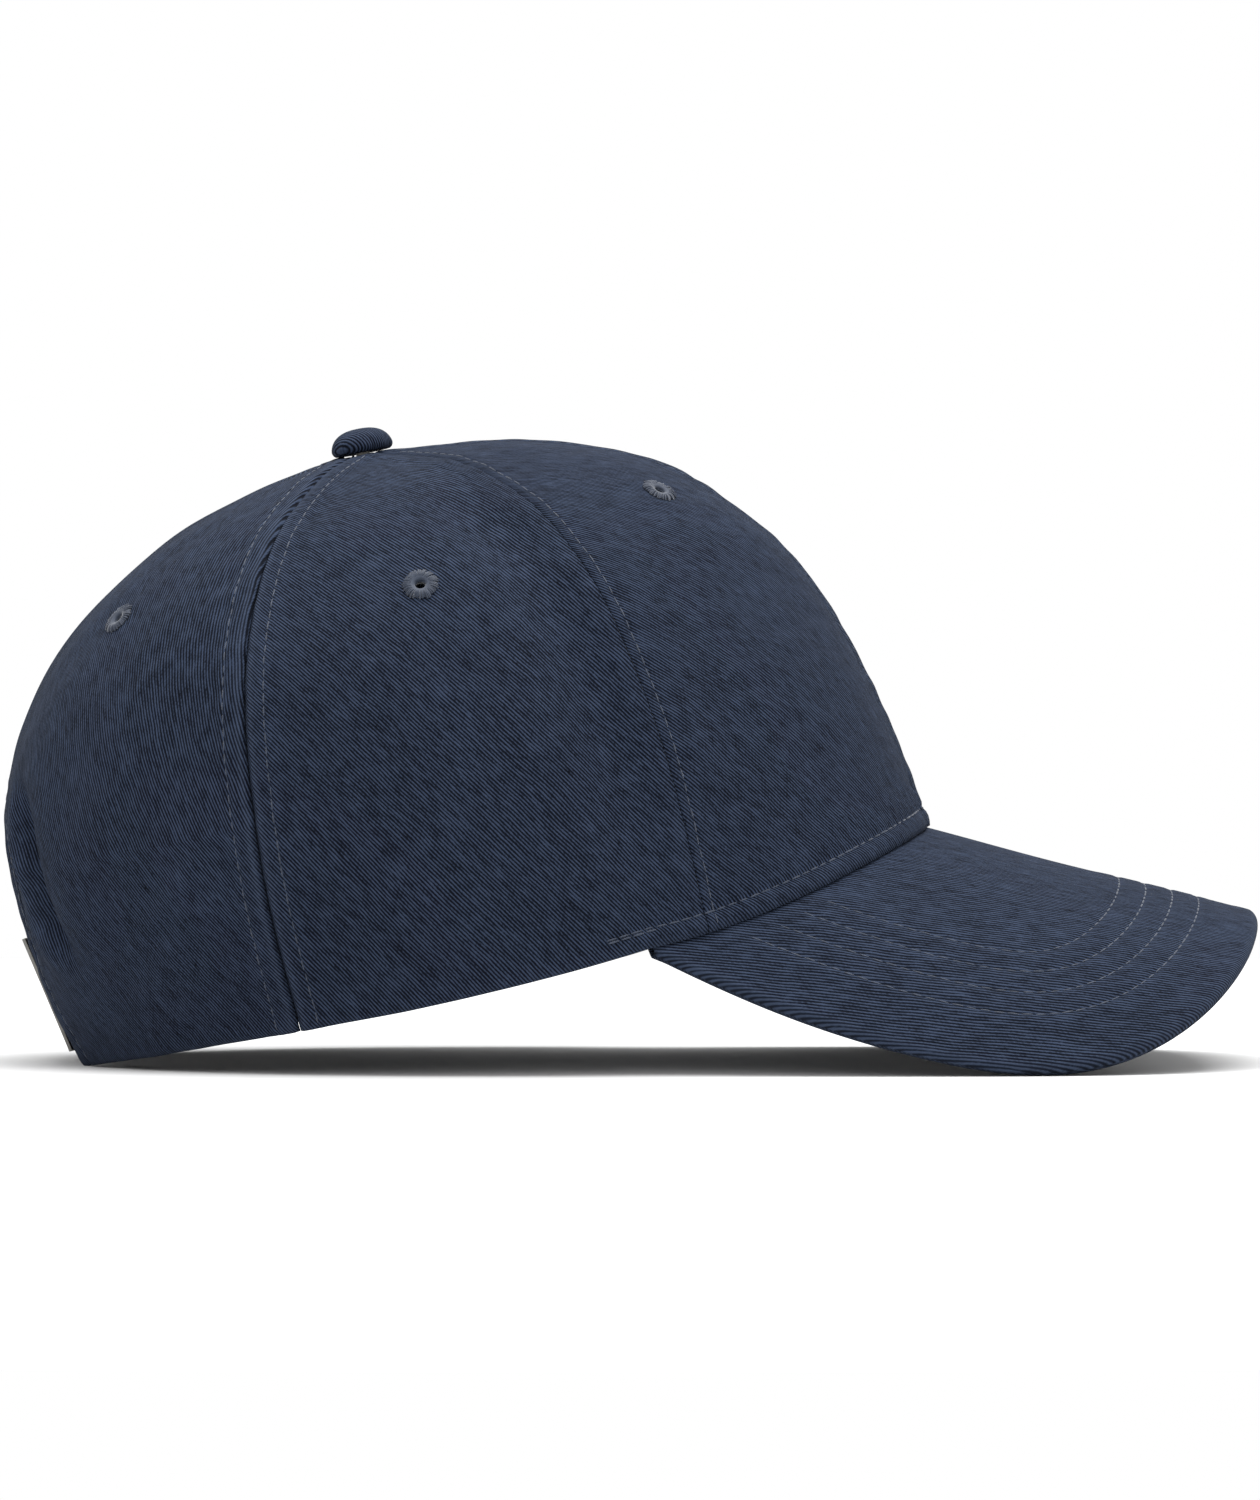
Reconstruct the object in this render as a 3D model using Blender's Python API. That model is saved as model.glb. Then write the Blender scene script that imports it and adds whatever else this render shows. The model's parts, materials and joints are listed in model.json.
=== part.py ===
"""Six-panel baseball cap with a curved brim and a metal clasp at the back.

Every piece is worked out in the cap's own frame: u runs forward, v to the wearer's left and w up,
square to the plane of the hem. That frame is tipped back at the end, until the cap stands on its hem
at the back and on the two low sides of its brim.
"""

import math

import bmesh
import bpy
import numpy as np
from mathutils import Matrix, Vector

# --------------------------------------------------------------------------------------------------
# Driving dimensions, in metres and degrees
# --------------------------------------------------------------------------------------------------

GAP = 0.0003  # between pieces that touch
LAYER_GAP = 0.0006  # between layers of cloth that follow the crown, whose facets differ
MERGE = 1e-7  # points this close are one point
SMOOTH_UNDER = 40.0  # faces that meet at less than this are shaded as one surface

# Head opening: an ellipse, raised at the front where the brim is sewn on
HEAD_HALF_LENGTH = 0.098
HEAD_HALF_WIDTH = 0.079
FRONT_RISE = 0.016

# Crown: each meridian leaves the hem leaning out by `lean` over `rise`, and reaches the button over
# a `reach` (a share of the way in) that drops by `drop`. The three values are front, side and rear.
CROWN_HEIGHT = 0.1212
BUTTON_BACK = 0.0096  # the button sits this far behind the middle of the head opening
LEAN = (-0.0112, 0.0066, 0.0246)
RISE = (0.0855, 0.0900, 0.0610)
REACH = (0.60, 0.65, 0.86)
DROP = (0.0028, 0.0070, 0.0057)

# Six panels
FRONT_SEAM = 62.3  # azimuth of the seam between front and side panel, at the hem
REAR_SEAM = 116.5  # azimuth of the seam between side and rear panel, at the hem
PANEL_CLOTH = 0.0008
PANEL_COLUMNS = 10
PANEL_ROWS = 14
LINING_CLOTH = 0.0006
LINING_HEM_MARGIN = 0.004  # the lining ends this far above the hem
TAPE_CLOTH = 0.0005
TAPE_WIDTH = 0.014
TAPE_SPREAD = 1.15  # tapes stop this many times further out than where neighbours would meet
EYELET_REACH = 0.0718  # straight from the button to each eyelet
EYELET_BORE = 0.0012
EYELET_WAIST = 0.0019
EYELET_FLANGE = 0.0039
EYELET_FLANGE_HEIGHT = 0.0007
EYELET_CROWN = (0.0019, 0.0030)  # radii between which the flange is at its full height
EYELET_LIP = 0.6  # of the full height, at the bore
EYELET_BACK = 0.0004  # thickness of the thread inside the crown
EYELET_CUT = 0.004  # the hole's cutter reaches this far in and out

# Button on the top
BUTTON_RADIUS = 0.0069
BUTTON_HEIGHT = 0.0058
BUTTON_CLOTH = 0.0006
BUTTON_SHELL = 0.0005
BUTTON_RIM_HEIGHT = 0.0012  # of the widest place, over the seat
BUTTON_FLATNESS = 0.8  # under 1, the dome is fuller at its shoulder
BUTTON_SEAT_SHARE = 0.93  # the cloth turns under at this share of the radius
BUTTON_HEM_SHARE = 0.72  # and ends at this one
CROWN_HOLE_RADIUS = 0.0042  # where the six panel tips stop, round the button's post
POST_RADIUS = 0.0016
POST_HEAD_RADIUS = 0.0028
POST_HEAD_THICKNESS = 0.0006
POST_RIVET_SHARE = 0.8  # the riveted end narrows to this share of the head
WASHER_RADIUS = 0.0080
WASHER_THICKNESS = 0.0006

# Sweatband round the inside of the hem
BAND_HEIGHT = 0.032
BAND_CLOTH = 0.0009
BAND_PADDING = 0.0014
BAND_PADDING_MARGIN = 0.003  # the padding stops this far inside the band's two long edges
BAND_HEM_MARGIN = 0.0005  # the band ends this far above the hem, but covers the brim's edge in front
BAND_COVER_FROM = 50.0  # azimuths between which the band's lower edge rises from the one to the other
BAND_COVER_TO = 66.0
BAND_COLUMNS = 44
BAND_ROWS = 4
BAND_REAR_STANDOFF = 0.0020  # the band stands this much further in at the back, round the strap's ends
BAND_STANDOFF_FROM = 108.0
BAND_STANDOFF_TO = 128.0
PADDING_END = 60.0  # azimuth where the padding ends, each side

# Opening at the back, over the strap
ARCH_HALF_WIDTH = 0.0235
ARCH_HEIGHT = 0.060
ARCH_SQUARENESS = 2.3
ARCH_ROWS = 7
FACING_WIDTH = 0.009
FACING_CLOTH = 0.0005

# Brim: a plate bent to a cylinder, whose ridge slopes down forwards
BRIM_BEND_RADIUS = 0.090
BRIM_SLOPE = 25.0
BRIM_LENGTH = 0.0752  # from the crown to the tip, along the ridge
BRIM_HALF_SPREAD = 0.0955  # half the flat width, along the bend
BRIM_WIDEST_AT = 0.004  # forward of the crown, along the ridge
BRIM_TIP_SQUARENESS = 2.7
BRIM_SIDE_SQUARENESS = 1.85
BRIM_CORNER = 70.0  # azimuth on the head opening where the brim's corner is sewn
HEM_CLEARANCE = 0.0006  # between the crown's lower edge and the brim under it
BRIM_TUCK = 0.0016  # the brim's inner edge runs on under the crown by this much
BRIM_THICKNESS = 0.0042
BRIM_COVER_CLOTH = 0.0008
BRIM_EDGE_ROUND = 0.0016
BRIM_COLUMNS = 17  # from the middle to each corner, counting both
BRIM_ROWS = 4
BOARD_EDGE_MARGIN = 0.0018
BOARD_SHORTEST_COLUMN = 0.010  # the board's corners stop where the brim is this narrow
HEM_FADE = 40.0  # degrees behind the corner over which the hem comes down
STEEPEST_TIP = 40.0  # the cap is never tipped back by more than this to stand level

# Strap and clasp, laid out round an upright axis: `along` is an angle from the back, to the left
STRAP_RADIUS = HEAD_HALF_WIDTH**2 / HEAD_HALF_LENGTH  # the back of the head opening is this round
STRAP_WIDTH = 0.0270
STRAP_CLOTH = 0.0013
STRAP_DEPTH = 0.0035  # the strap's outer face lies this far inside the crown's, at the back
STRAP_FOOT = 0.0030  # the strap's lower edge stands this far over the hem
STRAP_RIGHT_END = -40.0
STRAP_LEFT_END = 40.0
STRAP_STEP = 3.0
LOOP_CLOTH = 0.0010
LOOP_END = 41.0
CLASP_PLATE = 0.0007
CLASP_CLEARANCE = 0.0004  # between the clasp and the strap running through it
CLASP_START = 5.3
CLASP_END = 17.6
EAR_START = 12.3
EAR_END = 16.9
PIN_AT = 14.7
PIN_RADIUS = 0.0004
BARREL_RADIUS = 0.0010
BARREL_STEPS = 12
LEVER_PLATE = 0.0007
LEVER_LENGTH = 0.0123
LEVER_DROP = 0.0011  # the lever's tip comes down this much, to follow the strap
LEVER_TIP_HALF_HEIGHT = 0.0035

# Care label inside the band
LABEL_AT = 104.0
LABEL_WIDTH = 0.020
LABEL_HEIGHT = 0.024
LABEL_CLOTH = 0.0003
LABEL_FOOT = 0.004

NAVY = (0.028, 0.037, 0.063)
NAVY_THREAD = (0.045, 0.062, 0.100)
NAVY_DARK = (0.020, 0.027, 0.048)
PALE_GREY = (0.42, 0.43, 0.44)
WHITE_SATIN = (0.72, 0.72, 0.70)
BOARD_WHITE = (0.60, 0.60, 0.58)
STEEL = (0.56, 0.55, 0.53)

# Layers of the crown wall, as depths inside its outer face
LINING_DEPTH = PANEL_CLOTH + LAYER_GAP
TAPE_DEPTH = LINING_DEPTH + LINING_CLOTH + LAYER_GAP
PADDING_DEPTH = TAPE_DEPTH + TAPE_CLOTH + LAYER_GAP
BAND_DEPTH = PADDING_DEPTH + BAND_PADDING + LAYER_GAP
LABEL_DEPTH = BAND_DEPTH + BAND_CLOTH + GAP


# --------------------------------------------------------------------------------------------------
# Objects, materials and closed bodies
# --------------------------------------------------------------------------------------------------


def clear_scene():
    for old in list(bpy.data.objects):
        bpy.data.objects.remove(old, do_unlink=True)


def material(name, colour, roughness, metallic=0.0):
    """A Principled material of one colour, made once for each name."""
    made = bpy.data.materials.get(name)
    if made is None:
        made = bpy.data.materials.new(name)
        made.use_nodes = True
        shader = made.node_tree.nodes["Principled BSDF"]
        shader.inputs["Base Color"].default_value = (*colour, 1.0)
        shader.inputs["Roughness"].default_value = roughness
        shader.inputs["Metallic"].default_value = metallic
        made.diffuse_color = (*colour, 1.0)
    return made


def add_object(name, body, look, parent):
    """Turns a finished bmesh into a named object under `parent`, shaded smooth but for sharp edges."""
    bmesh.ops.remove_doubles(body, verts=body.verts, dist=MERGE)
    bmesh.ops.recalc_face_normals(body, faces=body.faces)
    mesh = bpy.data.meshes.new(name)
    body.to_mesh(mesh)
    body.free()
    mesh.shade_smooth()
    mesh.set_sharp_from_angle(angle=math.radians(SMOOTH_UNDER))
    mesh.materials.append(look)
    made = bpy.data.objects.new(name, mesh)
    bpy.context.scene.collection.objects.link(made)
    made.parent = parent
    return made


def shell(outer, inner):
    """A closed body between two matching grids of points, rows by columns."""
    body = bmesh.new()
    rows, columns = outer.shape[:2]
    outside = [[body.verts.new(outer[j, i]) for i in range(columns)] for j in range(rows)]
    inside = [[body.verts.new(inner[j, i]) for i in range(columns)] for j in range(rows)]
    for j in range(rows - 1):
        for i in range(columns - 1):
            body.faces.new((outside[j][i], outside[j][i + 1], outside[j + 1][i + 1], outside[j + 1][i]))
            body.faces.new((inside[j + 1][i], inside[j + 1][i + 1], inside[j][i + 1], inside[j][i]))
    for i in range(columns - 1):
        for j in (0, rows - 1):
            body.faces.new((outside[j][i], inside[j][i], inside[j][i + 1], outside[j][i + 1]))
    for j in range(rows - 1):
        for i in (0, columns - 1):
            body.faces.new((outside[j][i], outside[j + 1][i], inside[j + 1][i], inside[j][i]))
    return body


def turned(profile, segments=24):
    """A closed body turned about the z axis from a closed outline of (radius, height) points."""
    body = bmesh.new()
    points = len(profile)
    on_axis = {n: body.verts.new((0, 0, profile[n][1])) for n in range(points) if profile[n][0] == 0}
    rings = []
    for k in range(segments):
        angle = 2 * math.pi * k / segments
        spin = (math.cos(angle), math.sin(angle))
        rings.append([
            on_axis[n] if n in on_axis else body.verts.new((r * spin[0], r * spin[1], z))
            for n, (r, z) in enumerate(profile)
        ])
    for k in range(segments):
        this, following = rings[k], rings[(k + 1) % segments]
        for n in range(points):
            m = (n + 1) % points
            corners = [this[n], following[n], following[m], this[m]]
            corners = [c for i, c in enumerate(corners) if c not in corners[:i]]
            if len(corners) > 2:
                body.faces.new(corners)
    return body


# --------------------------------------------------------------------------------------------------
# The crown's surface
# --------------------------------------------------------------------------------------------------


def round_values(values, theta):
    """The (front, side, rear) values blended to azimuth theta."""
    front, side, rear = values
    ends = (front + rear) / 2
    return (ends + side) / 2 + (front - rear) / 2 * np.cos(theta) + (ends - side) / 2 * np.cos(2 * theta)


def crown_skin(theta, q):
    """Points of the crown's outer face: theta from the front to the left, q from 0 (hem) to 1 (button)."""
    theta, q = np.broadcast_arrays(np.asarray(theta, float), np.asarray(q, float))
    hem_u = HEAD_HALF_LENGTH * np.cos(theta)
    hem_v = HEAD_HALF_WIDTH * np.sin(theta)
    hem_w = FRONT_RISE * np.maximum(np.cos(theta), 0) ** 2
    out_u, out_v = hem_u + BUTTON_BACK, hem_v
    radius = np.hypot(out_u, out_v)
    out_u, out_v = out_u / radius, out_v / radius
    lean = round_values(LEAN, theta)
    reach = radius * round_values(REACH, theta)
    zero = np.zeros_like(theta)
    corners = (
        (hem_u, hem_v, hem_w),
        (hem_u + out_u * lean, hem_v + out_v * lean, hem_w + round_values(RISE, theta)),
        (out_u * reach - BUTTON_BACK, out_v * reach, CROWN_HEIGHT - round_values(DROP, theta)),
        (zero - BUTTON_BACK, zero, zero + CROWN_HEIGHT),
    )
    weights = ((1 - q) ** 3, 3 * (1 - q) ** 2 * q, 3 * (1 - q) * q * q, q**3)
    return sum(k[..., None] * np.stack(c, axis=-1) for k, c in zip(weights, corners, strict=True))


def crown_out(theta, q):
    """The crown's outward direction."""
    step = 1e-4
    around = crown_skin(np.add(theta, step), q) - crown_skin(np.subtract(theta, step), q)
    upward = crown_skin(theta, np.add(q, step)) - crown_skin(theta, np.subtract(q, step))
    out = np.cross(around, upward)
    return out / np.linalg.norm(out, axis=-1, keepdims=True)


def crown(theta, q, depth=0.0):
    """Points at a depth inside the crown's outer face."""
    return crown_skin(theta, q) - crown_out(theta, q) * np.asarray(depth, float)[..., None]


def find_rising(value_at, target, low, high):
    """Where a rising function of one number reaches target."""
    for _ in range(40):
        middle = (low + high) / 2
        if value_at(middle) < target:
            low = middle
        else:
            high = middle
    return (low + high) / 2


def q_at_height(theta, height):
    return find_rising(lambda q: crown_skin(theta, q)[2], height, -0.1, 0.8)


def q_at_radius(theta, radius):
    """How far up a meridian it comes within this radius of the button's axis."""
    def closeness(q):
        u, v, _ = crown_skin(theta, q)
        return -math.hypot(u + BUTTON_BACK, v)
    return find_rising(closeness, -radius, 0.3, 1.0)


def even_steps(theta, low, high, steps):
    """Values of q that cut a meridian into equal lengths."""
    fine = np.linspace(low, high, 200)
    spans = np.linalg.norm(np.diff(crown_skin(np.full(200, theta), fine), axis=0), axis=1)
    lengths = np.concatenate([[0], np.cumsum(spans)])
    return np.interp(np.linspace(0, lengths[-1], steps + 1), lengths, fine)


def eased(value, low, high):
    """0 up to low and 1 from high on, with a smooth rise between."""
    share = min(max((value - low) / (high - low), 0.0), 1.0)
    return share * share * (3 - 2 * share)


def azimuth_width(theta, q, width):
    """The change of azimuth that moves a point of the crown sideways by this width."""
    step = 1e-3
    sideways = crown_skin(np.add(theta, step), q) - crown_skin(np.subtract(theta, step), q)
    return width * 2 * step / np.linalg.norm(sideways, axis=-1)


# --------------------------------------------------------------------------------------------------
# The brim's surface
# --------------------------------------------------------------------------------------------------


def brim(forward, across, depth=0.0):
    """A point of the brim, from its flat pattern: forward along the ridge, across along the bend."""
    slope = math.radians(BRIM_SLOPE)
    turn = across / BRIM_BEND_RADIUS
    radius = BRIM_BEND_RADIUS - depth
    lift = radius * math.cos(turn) - BRIM_BEND_RADIUS
    return (
        HEAD_HALF_LENGTH + forward * math.cos(slope) + lift * math.sin(slope),
        radius * math.sin(turn),
        FRONT_RISE - forward * math.sin(slope) + lift * math.cos(slope),
    )


def brim_pattern(u, v):
    """The flat pattern's point over a place (u, v) of the cap's plan."""
    across = BRIM_BEND_RADIUS * math.asin(v / BRIM_BEND_RADIUS)
    lift = math.sqrt(BRIM_BEND_RADIUS**2 - v**2) - BRIM_BEND_RADIUS
    slope = math.radians(BRIM_SLOPE)
    return np.array([(u - HEAD_HALF_LENGTH - lift * math.sin(slope)) / math.cos(slope), across])


def head_edge(theta, inset=0.0):
    """The head opening in plan, moved inwards by inset."""
    u, v = HEAD_HALF_LENGTH * math.cos(theta), HEAD_HALF_WIDTH * math.sin(theta)
    out = Vector((math.cos(theta) / HEAD_HALF_LENGTH, math.sin(theta) / HEAD_HALF_WIDTH)).normalized()
    return u - inset * out.x, v - inset * out.y


def brim_height(theta, inset):
    """How high the brim's top face is, this far inside the head opening."""
    return brim(*brim_pattern(*head_edge(theta, inset)))[2]


def hem_height(theta, inset=0.0):
    """The crown's lower edge: on the brim in front, and down to the hem's plane behind its corners."""
    corner = math.radians(BRIM_CORNER)
    if abs(theta) <= corner:
        return brim_height(theta, inset) + HEM_CLEARANCE
    fade = max(0.0, 1 - (abs(theta) - corner) / math.radians(HEM_FADE))
    return (brim_height(corner, inset) + HEM_CLEARANCE) * fade**2


def brim_outline(points):
    """Points of the brim's edge in its flat pattern, evenly spaced from the tip to the left corner."""
    corner = brim_pattern(*head_edge(math.radians(BRIM_CORNER)))
    front = BRIM_LENGTH - BRIM_WIDEST_AT
    back = BRIM_WIDEST_AT - corner[0]
    fine = []
    for angle in np.linspace(0, math.pi / 2, 200):
        power = 2 / BRIM_TIP_SQUARENESS
        fine.append((
            BRIM_WIDEST_AT + front * math.cos(angle) ** power,
            BRIM_HALF_SPREAD * math.sin(angle) ** power,
        ))
    for share in np.linspace(0, 1, 100)[1:]:
        narrowing = (BRIM_HALF_SPREAD - corner[1]) * share**BRIM_SIDE_SQUARENESS
        fine.append((BRIM_WIDEST_AT - back * share, BRIM_HALF_SPREAD - narrowing))
    fine = np.array(fine)
    lengths = np.concatenate([[0], np.cumsum(np.linalg.norm(np.diff(fine, axis=0), axis=1))])
    at = np.linspace(0, lengths[-1], points)
    return np.stack([np.interp(at, lengths, fine[:, k]) for k in range(2)], axis=1)


def brim_columns():
    """Lines across the brim from its outer to its inner edge, from the right corner to the left one."""
    outer = brim_outline(BRIM_COLUMNS)
    azimuths = np.linspace(0, math.radians(BRIM_CORNER), BRIM_COLUMNS)
    inner = np.array([brim_pattern(*head_edge(a, BRIM_TUCK)) for a in azimuths])
    left = np.stack([outer, inner], axis=1)
    right = left[:0:-1] * (1, -1)
    return np.concatenate([right, left])


def brim_body(columns, outer_profile, inner_profile):
    """A body swept along the brim's columns between two profiles of (inset from the edge, depth)."""
    grids = []
    for profile in (outer_profile, inner_profile):
        grid = []
        for edge, root in columns:
            length = np.linalg.norm(root - edge)
            inward = (root - edge) / length
            row = []
            for inset, depth in profile(length):
                row.append(brim(*(edge + inward * inset), depth))
            grid.append(row)
        grids.append(np.array(grid))
    return shell(*grids)


def cover_profile(inset, from_top):
    """One face of a brim cover: in from the root, round the edge and down to the middle of it."""
    middle = BRIM_THICKNESS / 2 - GAP / 2

    def profile(length):
        rounding = min(BRIM_EDGE_ROUND, length / 3)
        turn = rounding - inset
        points = [(length, inset)]
        for k in range(BRIM_ROWS - 1, -1, -1):
            points.append((rounding + (length - rounding) * k / BRIM_ROWS, inset))
        for angle in (30, 60, 90):
            swing = math.radians(angle)
            points.append((rounding - turn * math.sin(swing), rounding - turn * math.cos(swing)))
        points.append((inset, middle))
        if from_top:
            return points
        return [(x, BRIM_THICKNESS - d) for x, d in points]

    return profile


def board_profile(depth):
    def profile(length):
        reach = length - GAP - BOARD_EDGE_MARGIN
        return [(BOARD_EDGE_MARGIN + reach * k / BRIM_ROWS, depth) for k in range(BRIM_ROWS + 1)]
    return profile


def add_brim(parent):
    columns = brim_columns()
    cloth = BRIM_COVER_CLOTH
    looks = {
        "brim_top_cover": material("brim_top_twill", NAVY, 0.9),
        "brim_under_cover": material("brim_under_twill", NAVY_DARK, 0.9),
    }
    for name, look in looks.items():
        from_top = name == "brim_top_cover"
        body = brim_body(columns, cover_profile(0.0, from_top), cover_profile(cloth, from_top))
        add_object(name, body, look, parent)
    long_enough = [c for c in columns if np.linalg.norm(c[1] - c[0]) > BOARD_SHORTEST_COLUMN]
    top = cloth + LAYER_GAP
    body = brim_body(long_enough, board_profile(top), board_profile(BRIM_THICKNESS - top))
    add_object("brim_board", body, material("brim_board_plastic", BOARD_WHITE, 0.5), parent)


# --------------------------------------------------------------------------------------------------
# Crown panels, linings, tapes, band and facing
# --------------------------------------------------------------------------------------------------


def arch_point(turn, margin=0.0):
    """(azimuth, q) on the left leg of the rear opening, turn 0 at the hem and pi/2 at the top."""
    power = 2 / ARCH_SQUARENESS
    aside = (ARCH_HALF_WIDTH + margin) * math.cos(turn) ** power
    height = (ARCH_HEIGHT + margin) * math.sin(turn) ** power
    theta = math.pi - math.asin(aside / HEAD_HALF_WIDTH)
    for _ in range(12):
        reached = crown_skin(theta, q_at_height(theta, height))[1]
        if reached < MERGE:
            return math.pi, q_at_height(math.pi, height)
        theta = math.pi - math.asin(aside * math.sin(theta) / reached)
    return theta, q_at_height(theta, height)


def panel_grid(start, end, depth, top_radius, hem_margin=0.0):
    """Points of a front or side panel between two seams, standing on the hem."""
    shares = np.linspace(0, 1, PANEL_COLUMNS + 1)
    grid = np.zeros((PANEL_ROWS + 1, PANEL_COLUMNS + 1, 3))
    for i, share in enumerate(shares):
        middle = start + (end - start) * share
        low = q_at_height(middle, hem_height(middle, depth) + hem_margin)
        heights = even_steps(middle, low, q_at_radius(middle, top_radius), PANEL_ROWS)
        seam_gap = azimuth_width(np.full(len(heights), middle), heights, GAP / 2)
        thetas = middle + seam_gap * (1 - 2 * share)
        grid[:, i] = crown(thetas, heights, depth)
    return grid


def rear_edge_rows():
    """(azimuth, q) up the edge of the left rear panel: round the opening, then up the centre seam."""
    turns = np.linspace(0, math.pi / 2, ARCH_ROWS + 1)
    rows = [arch_point(turn) for turn in turns]
    rest = even_steps(math.pi, rows[-1][1], q_at_radius(math.pi, CROWN_HOLE_RADIUS), PANEL_ROWS - ARCH_ROWS)
    return rows[:-1] + [(math.pi, q) for q in rest]


def rear_panel_grid(depth):
    """Points of the left rear panel, between its side seam and the opening and centre seam."""
    seam = math.radians(REAR_SEAM)
    edge = rear_edge_rows()
    seam_rows = [q_at_height(seam, crown_skin(*row)[2]) for row in edge[: ARCH_ROWS + 1]]
    top = q_at_radius(seam, CROWN_HOLE_RADIUS)
    seam_rows += list(even_steps(seam, seam_rows[-1], top, PANEL_ROWS - ARCH_ROWS)[1:])
    grid = np.zeros((PANEL_ROWS + 1, PANEL_COLUMNS + 1, 3))
    for j, ((edge_theta, edge_q), seam_q) in enumerate(zip(edge, seam_rows, strict=True)):
        seam_theta = seam + azimuth_width(seam, seam_q, GAP / 2)
        if j >= ARCH_ROWS:
            edge_theta = edge_theta - azimuth_width(edge_theta, edge_q, GAP / 2)
        shares = np.linspace(0, 1, PANEL_COLUMNS + 1)
        thetas = seam_theta + (edge_theta - seam_theta) * shares
        heights = seam_q + (edge_q - seam_q) * shares
        grid[j] = crown(thetas, heights, depth)
    return grid


def mirrored(grid, side):
    """The grid itself for the left side (1), or its mirror image for the right side (-1)."""
    return grid * (1, side, 1)


def add_panels(parent):
    front, rear = math.radians(FRONT_SEAM), math.radians(REAR_SEAM)
    twill = material("crown_twill", NAVY, 0.9)
    buckram = material("front_lining_buckram", PALE_GREY, 0.9)
    made = {}
    for side, word in ((1, "left"), (-1, "right")):
        for place, start, end in (("front", 0.0, front), ("side", front, rear)):
            skins = [panel_grid(start, end, d, CROWN_HOLE_RADIUS) for d in (0.0, PANEL_CLOTH)]
            name = f"{place}_panel_{word}"
            made[name] = add_object(name, shell(*[mirrored(s, side) for s in skins]), twill, parent)
        skins = [rear_panel_grid(d) for d in (0.0, PANEL_CLOTH)]
        name = f"rear_panel_{word}"
        made[name] = add_object(name, shell(*[mirrored(s, side) for s in skins]), twill, parent)
        depths = (LINING_DEPTH, LINING_DEPTH + LINING_CLOTH)
        skins = [panel_grid(0.0, front, d, BUTTON_RADIUS, LINING_HEM_MARGIN) for d in depths]
        name = f"front_lining_{word}"
        made[name] = add_object(name, shell(*[mirrored(s, side) for s in skins]), buckram, parent)
    return made


def tape_body(theta, heights):
    """A tape over the seam at azimuth theta, inside the crown."""
    grids = []
    for depth in (TAPE_DEPTH, TAPE_DEPTH + TAPE_CLOTH):
        columns = []
        for side in (-1, 0, 1):
            shift = azimuth_width(np.full(len(heights), theta), heights, side * TAPE_WIDTH / 2)
            columns.append(crown(theta + shift, heights, depth))
        grids.append(np.stack(columns, axis=1))
    return shell(*grids)


def add_tapes(parent):
    look = material("seam_tape_cotton", NAVY_DARK, 0.9)
    crowded = TAPE_SPREAD * TAPE_WIDTH / 2 / math.sin(math.radians(FRONT_SEAM / 2))
    stop = max(WASHER_RADIUS + GAP, crowded)
    tapes = {"seam_tape_front": 0.0, "seam_tape_back": 180.0}
    for side, word in ((1, "left"), (-1, "right")):
        tapes[f"seam_tape_front_{word}"] = side * FRONT_SEAM
        tapes[f"seam_tape_rear_{word}"] = side * REAR_SEAM
    for name, azimuth in tapes.items():
        theta = math.radians(azimuth)
        low = q_at_height(theta, hem_height(theta) + LINING_HEM_MARGIN)
        if name == "seam_tape_back":
            low = arch_point(math.pi / 2, FACING_WIDTH + GAP)[1]
        high = q_at_radius(theta, stop)
        add_object(name, tape_body(theta, even_steps(theta, low, high, PANEL_ROWS)), look, parent)


def band_azimuths(end):
    return np.linspace(-end, end, BAND_COLUMNS + 1)


def band_foot(theta):
    """The band's lower edge: over the hem at the back, and down over the brim's edge in front."""
    covering = 1 - eased(math.degrees(abs(theta)), BAND_COVER_FROM, BAND_COVER_TO)
    return hem_height(theta) + BAND_HEM_MARGIN - (BRIM_THICKNESS + BAND_HEM_MARGIN) * covering


def band_grid(azimuths, depth, foot, head):
    """Rows of points round the crown's inside between two heights given as functions of azimuth."""
    grid = np.zeros((BAND_ROWS + 1, len(azimuths), 3))
    for i, theta in enumerate(azimuths):
        standoff = BAND_REAR_STANDOFF * eased(math.degrees(abs(theta)), BAND_STANDOFF_FROM, BAND_STANDOFF_TO)
        heights = np.linspace(foot(theta), head(theta), BAND_ROWS + 1)
        levels = np.array([q_at_height(theta, h) for h in heights])
        grid[:, i] = crown(theta, levels, depth + standoff)
    return grid


def add_band(parent):
    end = arch_point(0.0)[0] - azimuth_width(math.pi, 0.0, GAP)
    azimuths = band_azimuths(end)

    def band_head(theta):
        return hem_height(theta) + BAND_HEIGHT

    depths = (BAND_DEPTH, BAND_DEPTH + BAND_CLOTH)
    grids = [band_grid(azimuths, d, band_foot, band_head) for d in depths]
    add_object("sweatband", shell(*grids), material("sweatband_twill", NAVY, 0.85), parent)

    margin = BAND_PADDING_MARGIN
    azimuths = band_azimuths(math.radians(PADDING_END))
    depths = (PADDING_DEPTH, PADDING_DEPTH + BAND_PADDING)
    grids = [
        band_grid(azimuths, d, lambda a: hem_height(a) + margin, lambda a: band_head(a) - margin)
        for d in depths
    ]
    add_object("sweatband_padding", shell(*grids), material("padding_foam", PALE_GREY, 0.95), parent)

    theta = math.radians(LABEL_AT)
    half = float(azimuth_width(theta, 0.1, LABEL_WIDTH / 2))
    azimuths = np.linspace(theta - half, theta + half, 5)
    depths = (LABEL_DEPTH, LABEL_DEPTH + LABEL_CLOTH)
    grids = [
        band_grid(azimuths, d, lambda a: LABEL_FOOT, lambda a: LABEL_FOOT + LABEL_HEIGHT) for d in depths
    ]
    add_object("care_label", shell(*grids), material("label_satin", WHITE_SATIN, 0.6), parent)


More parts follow.
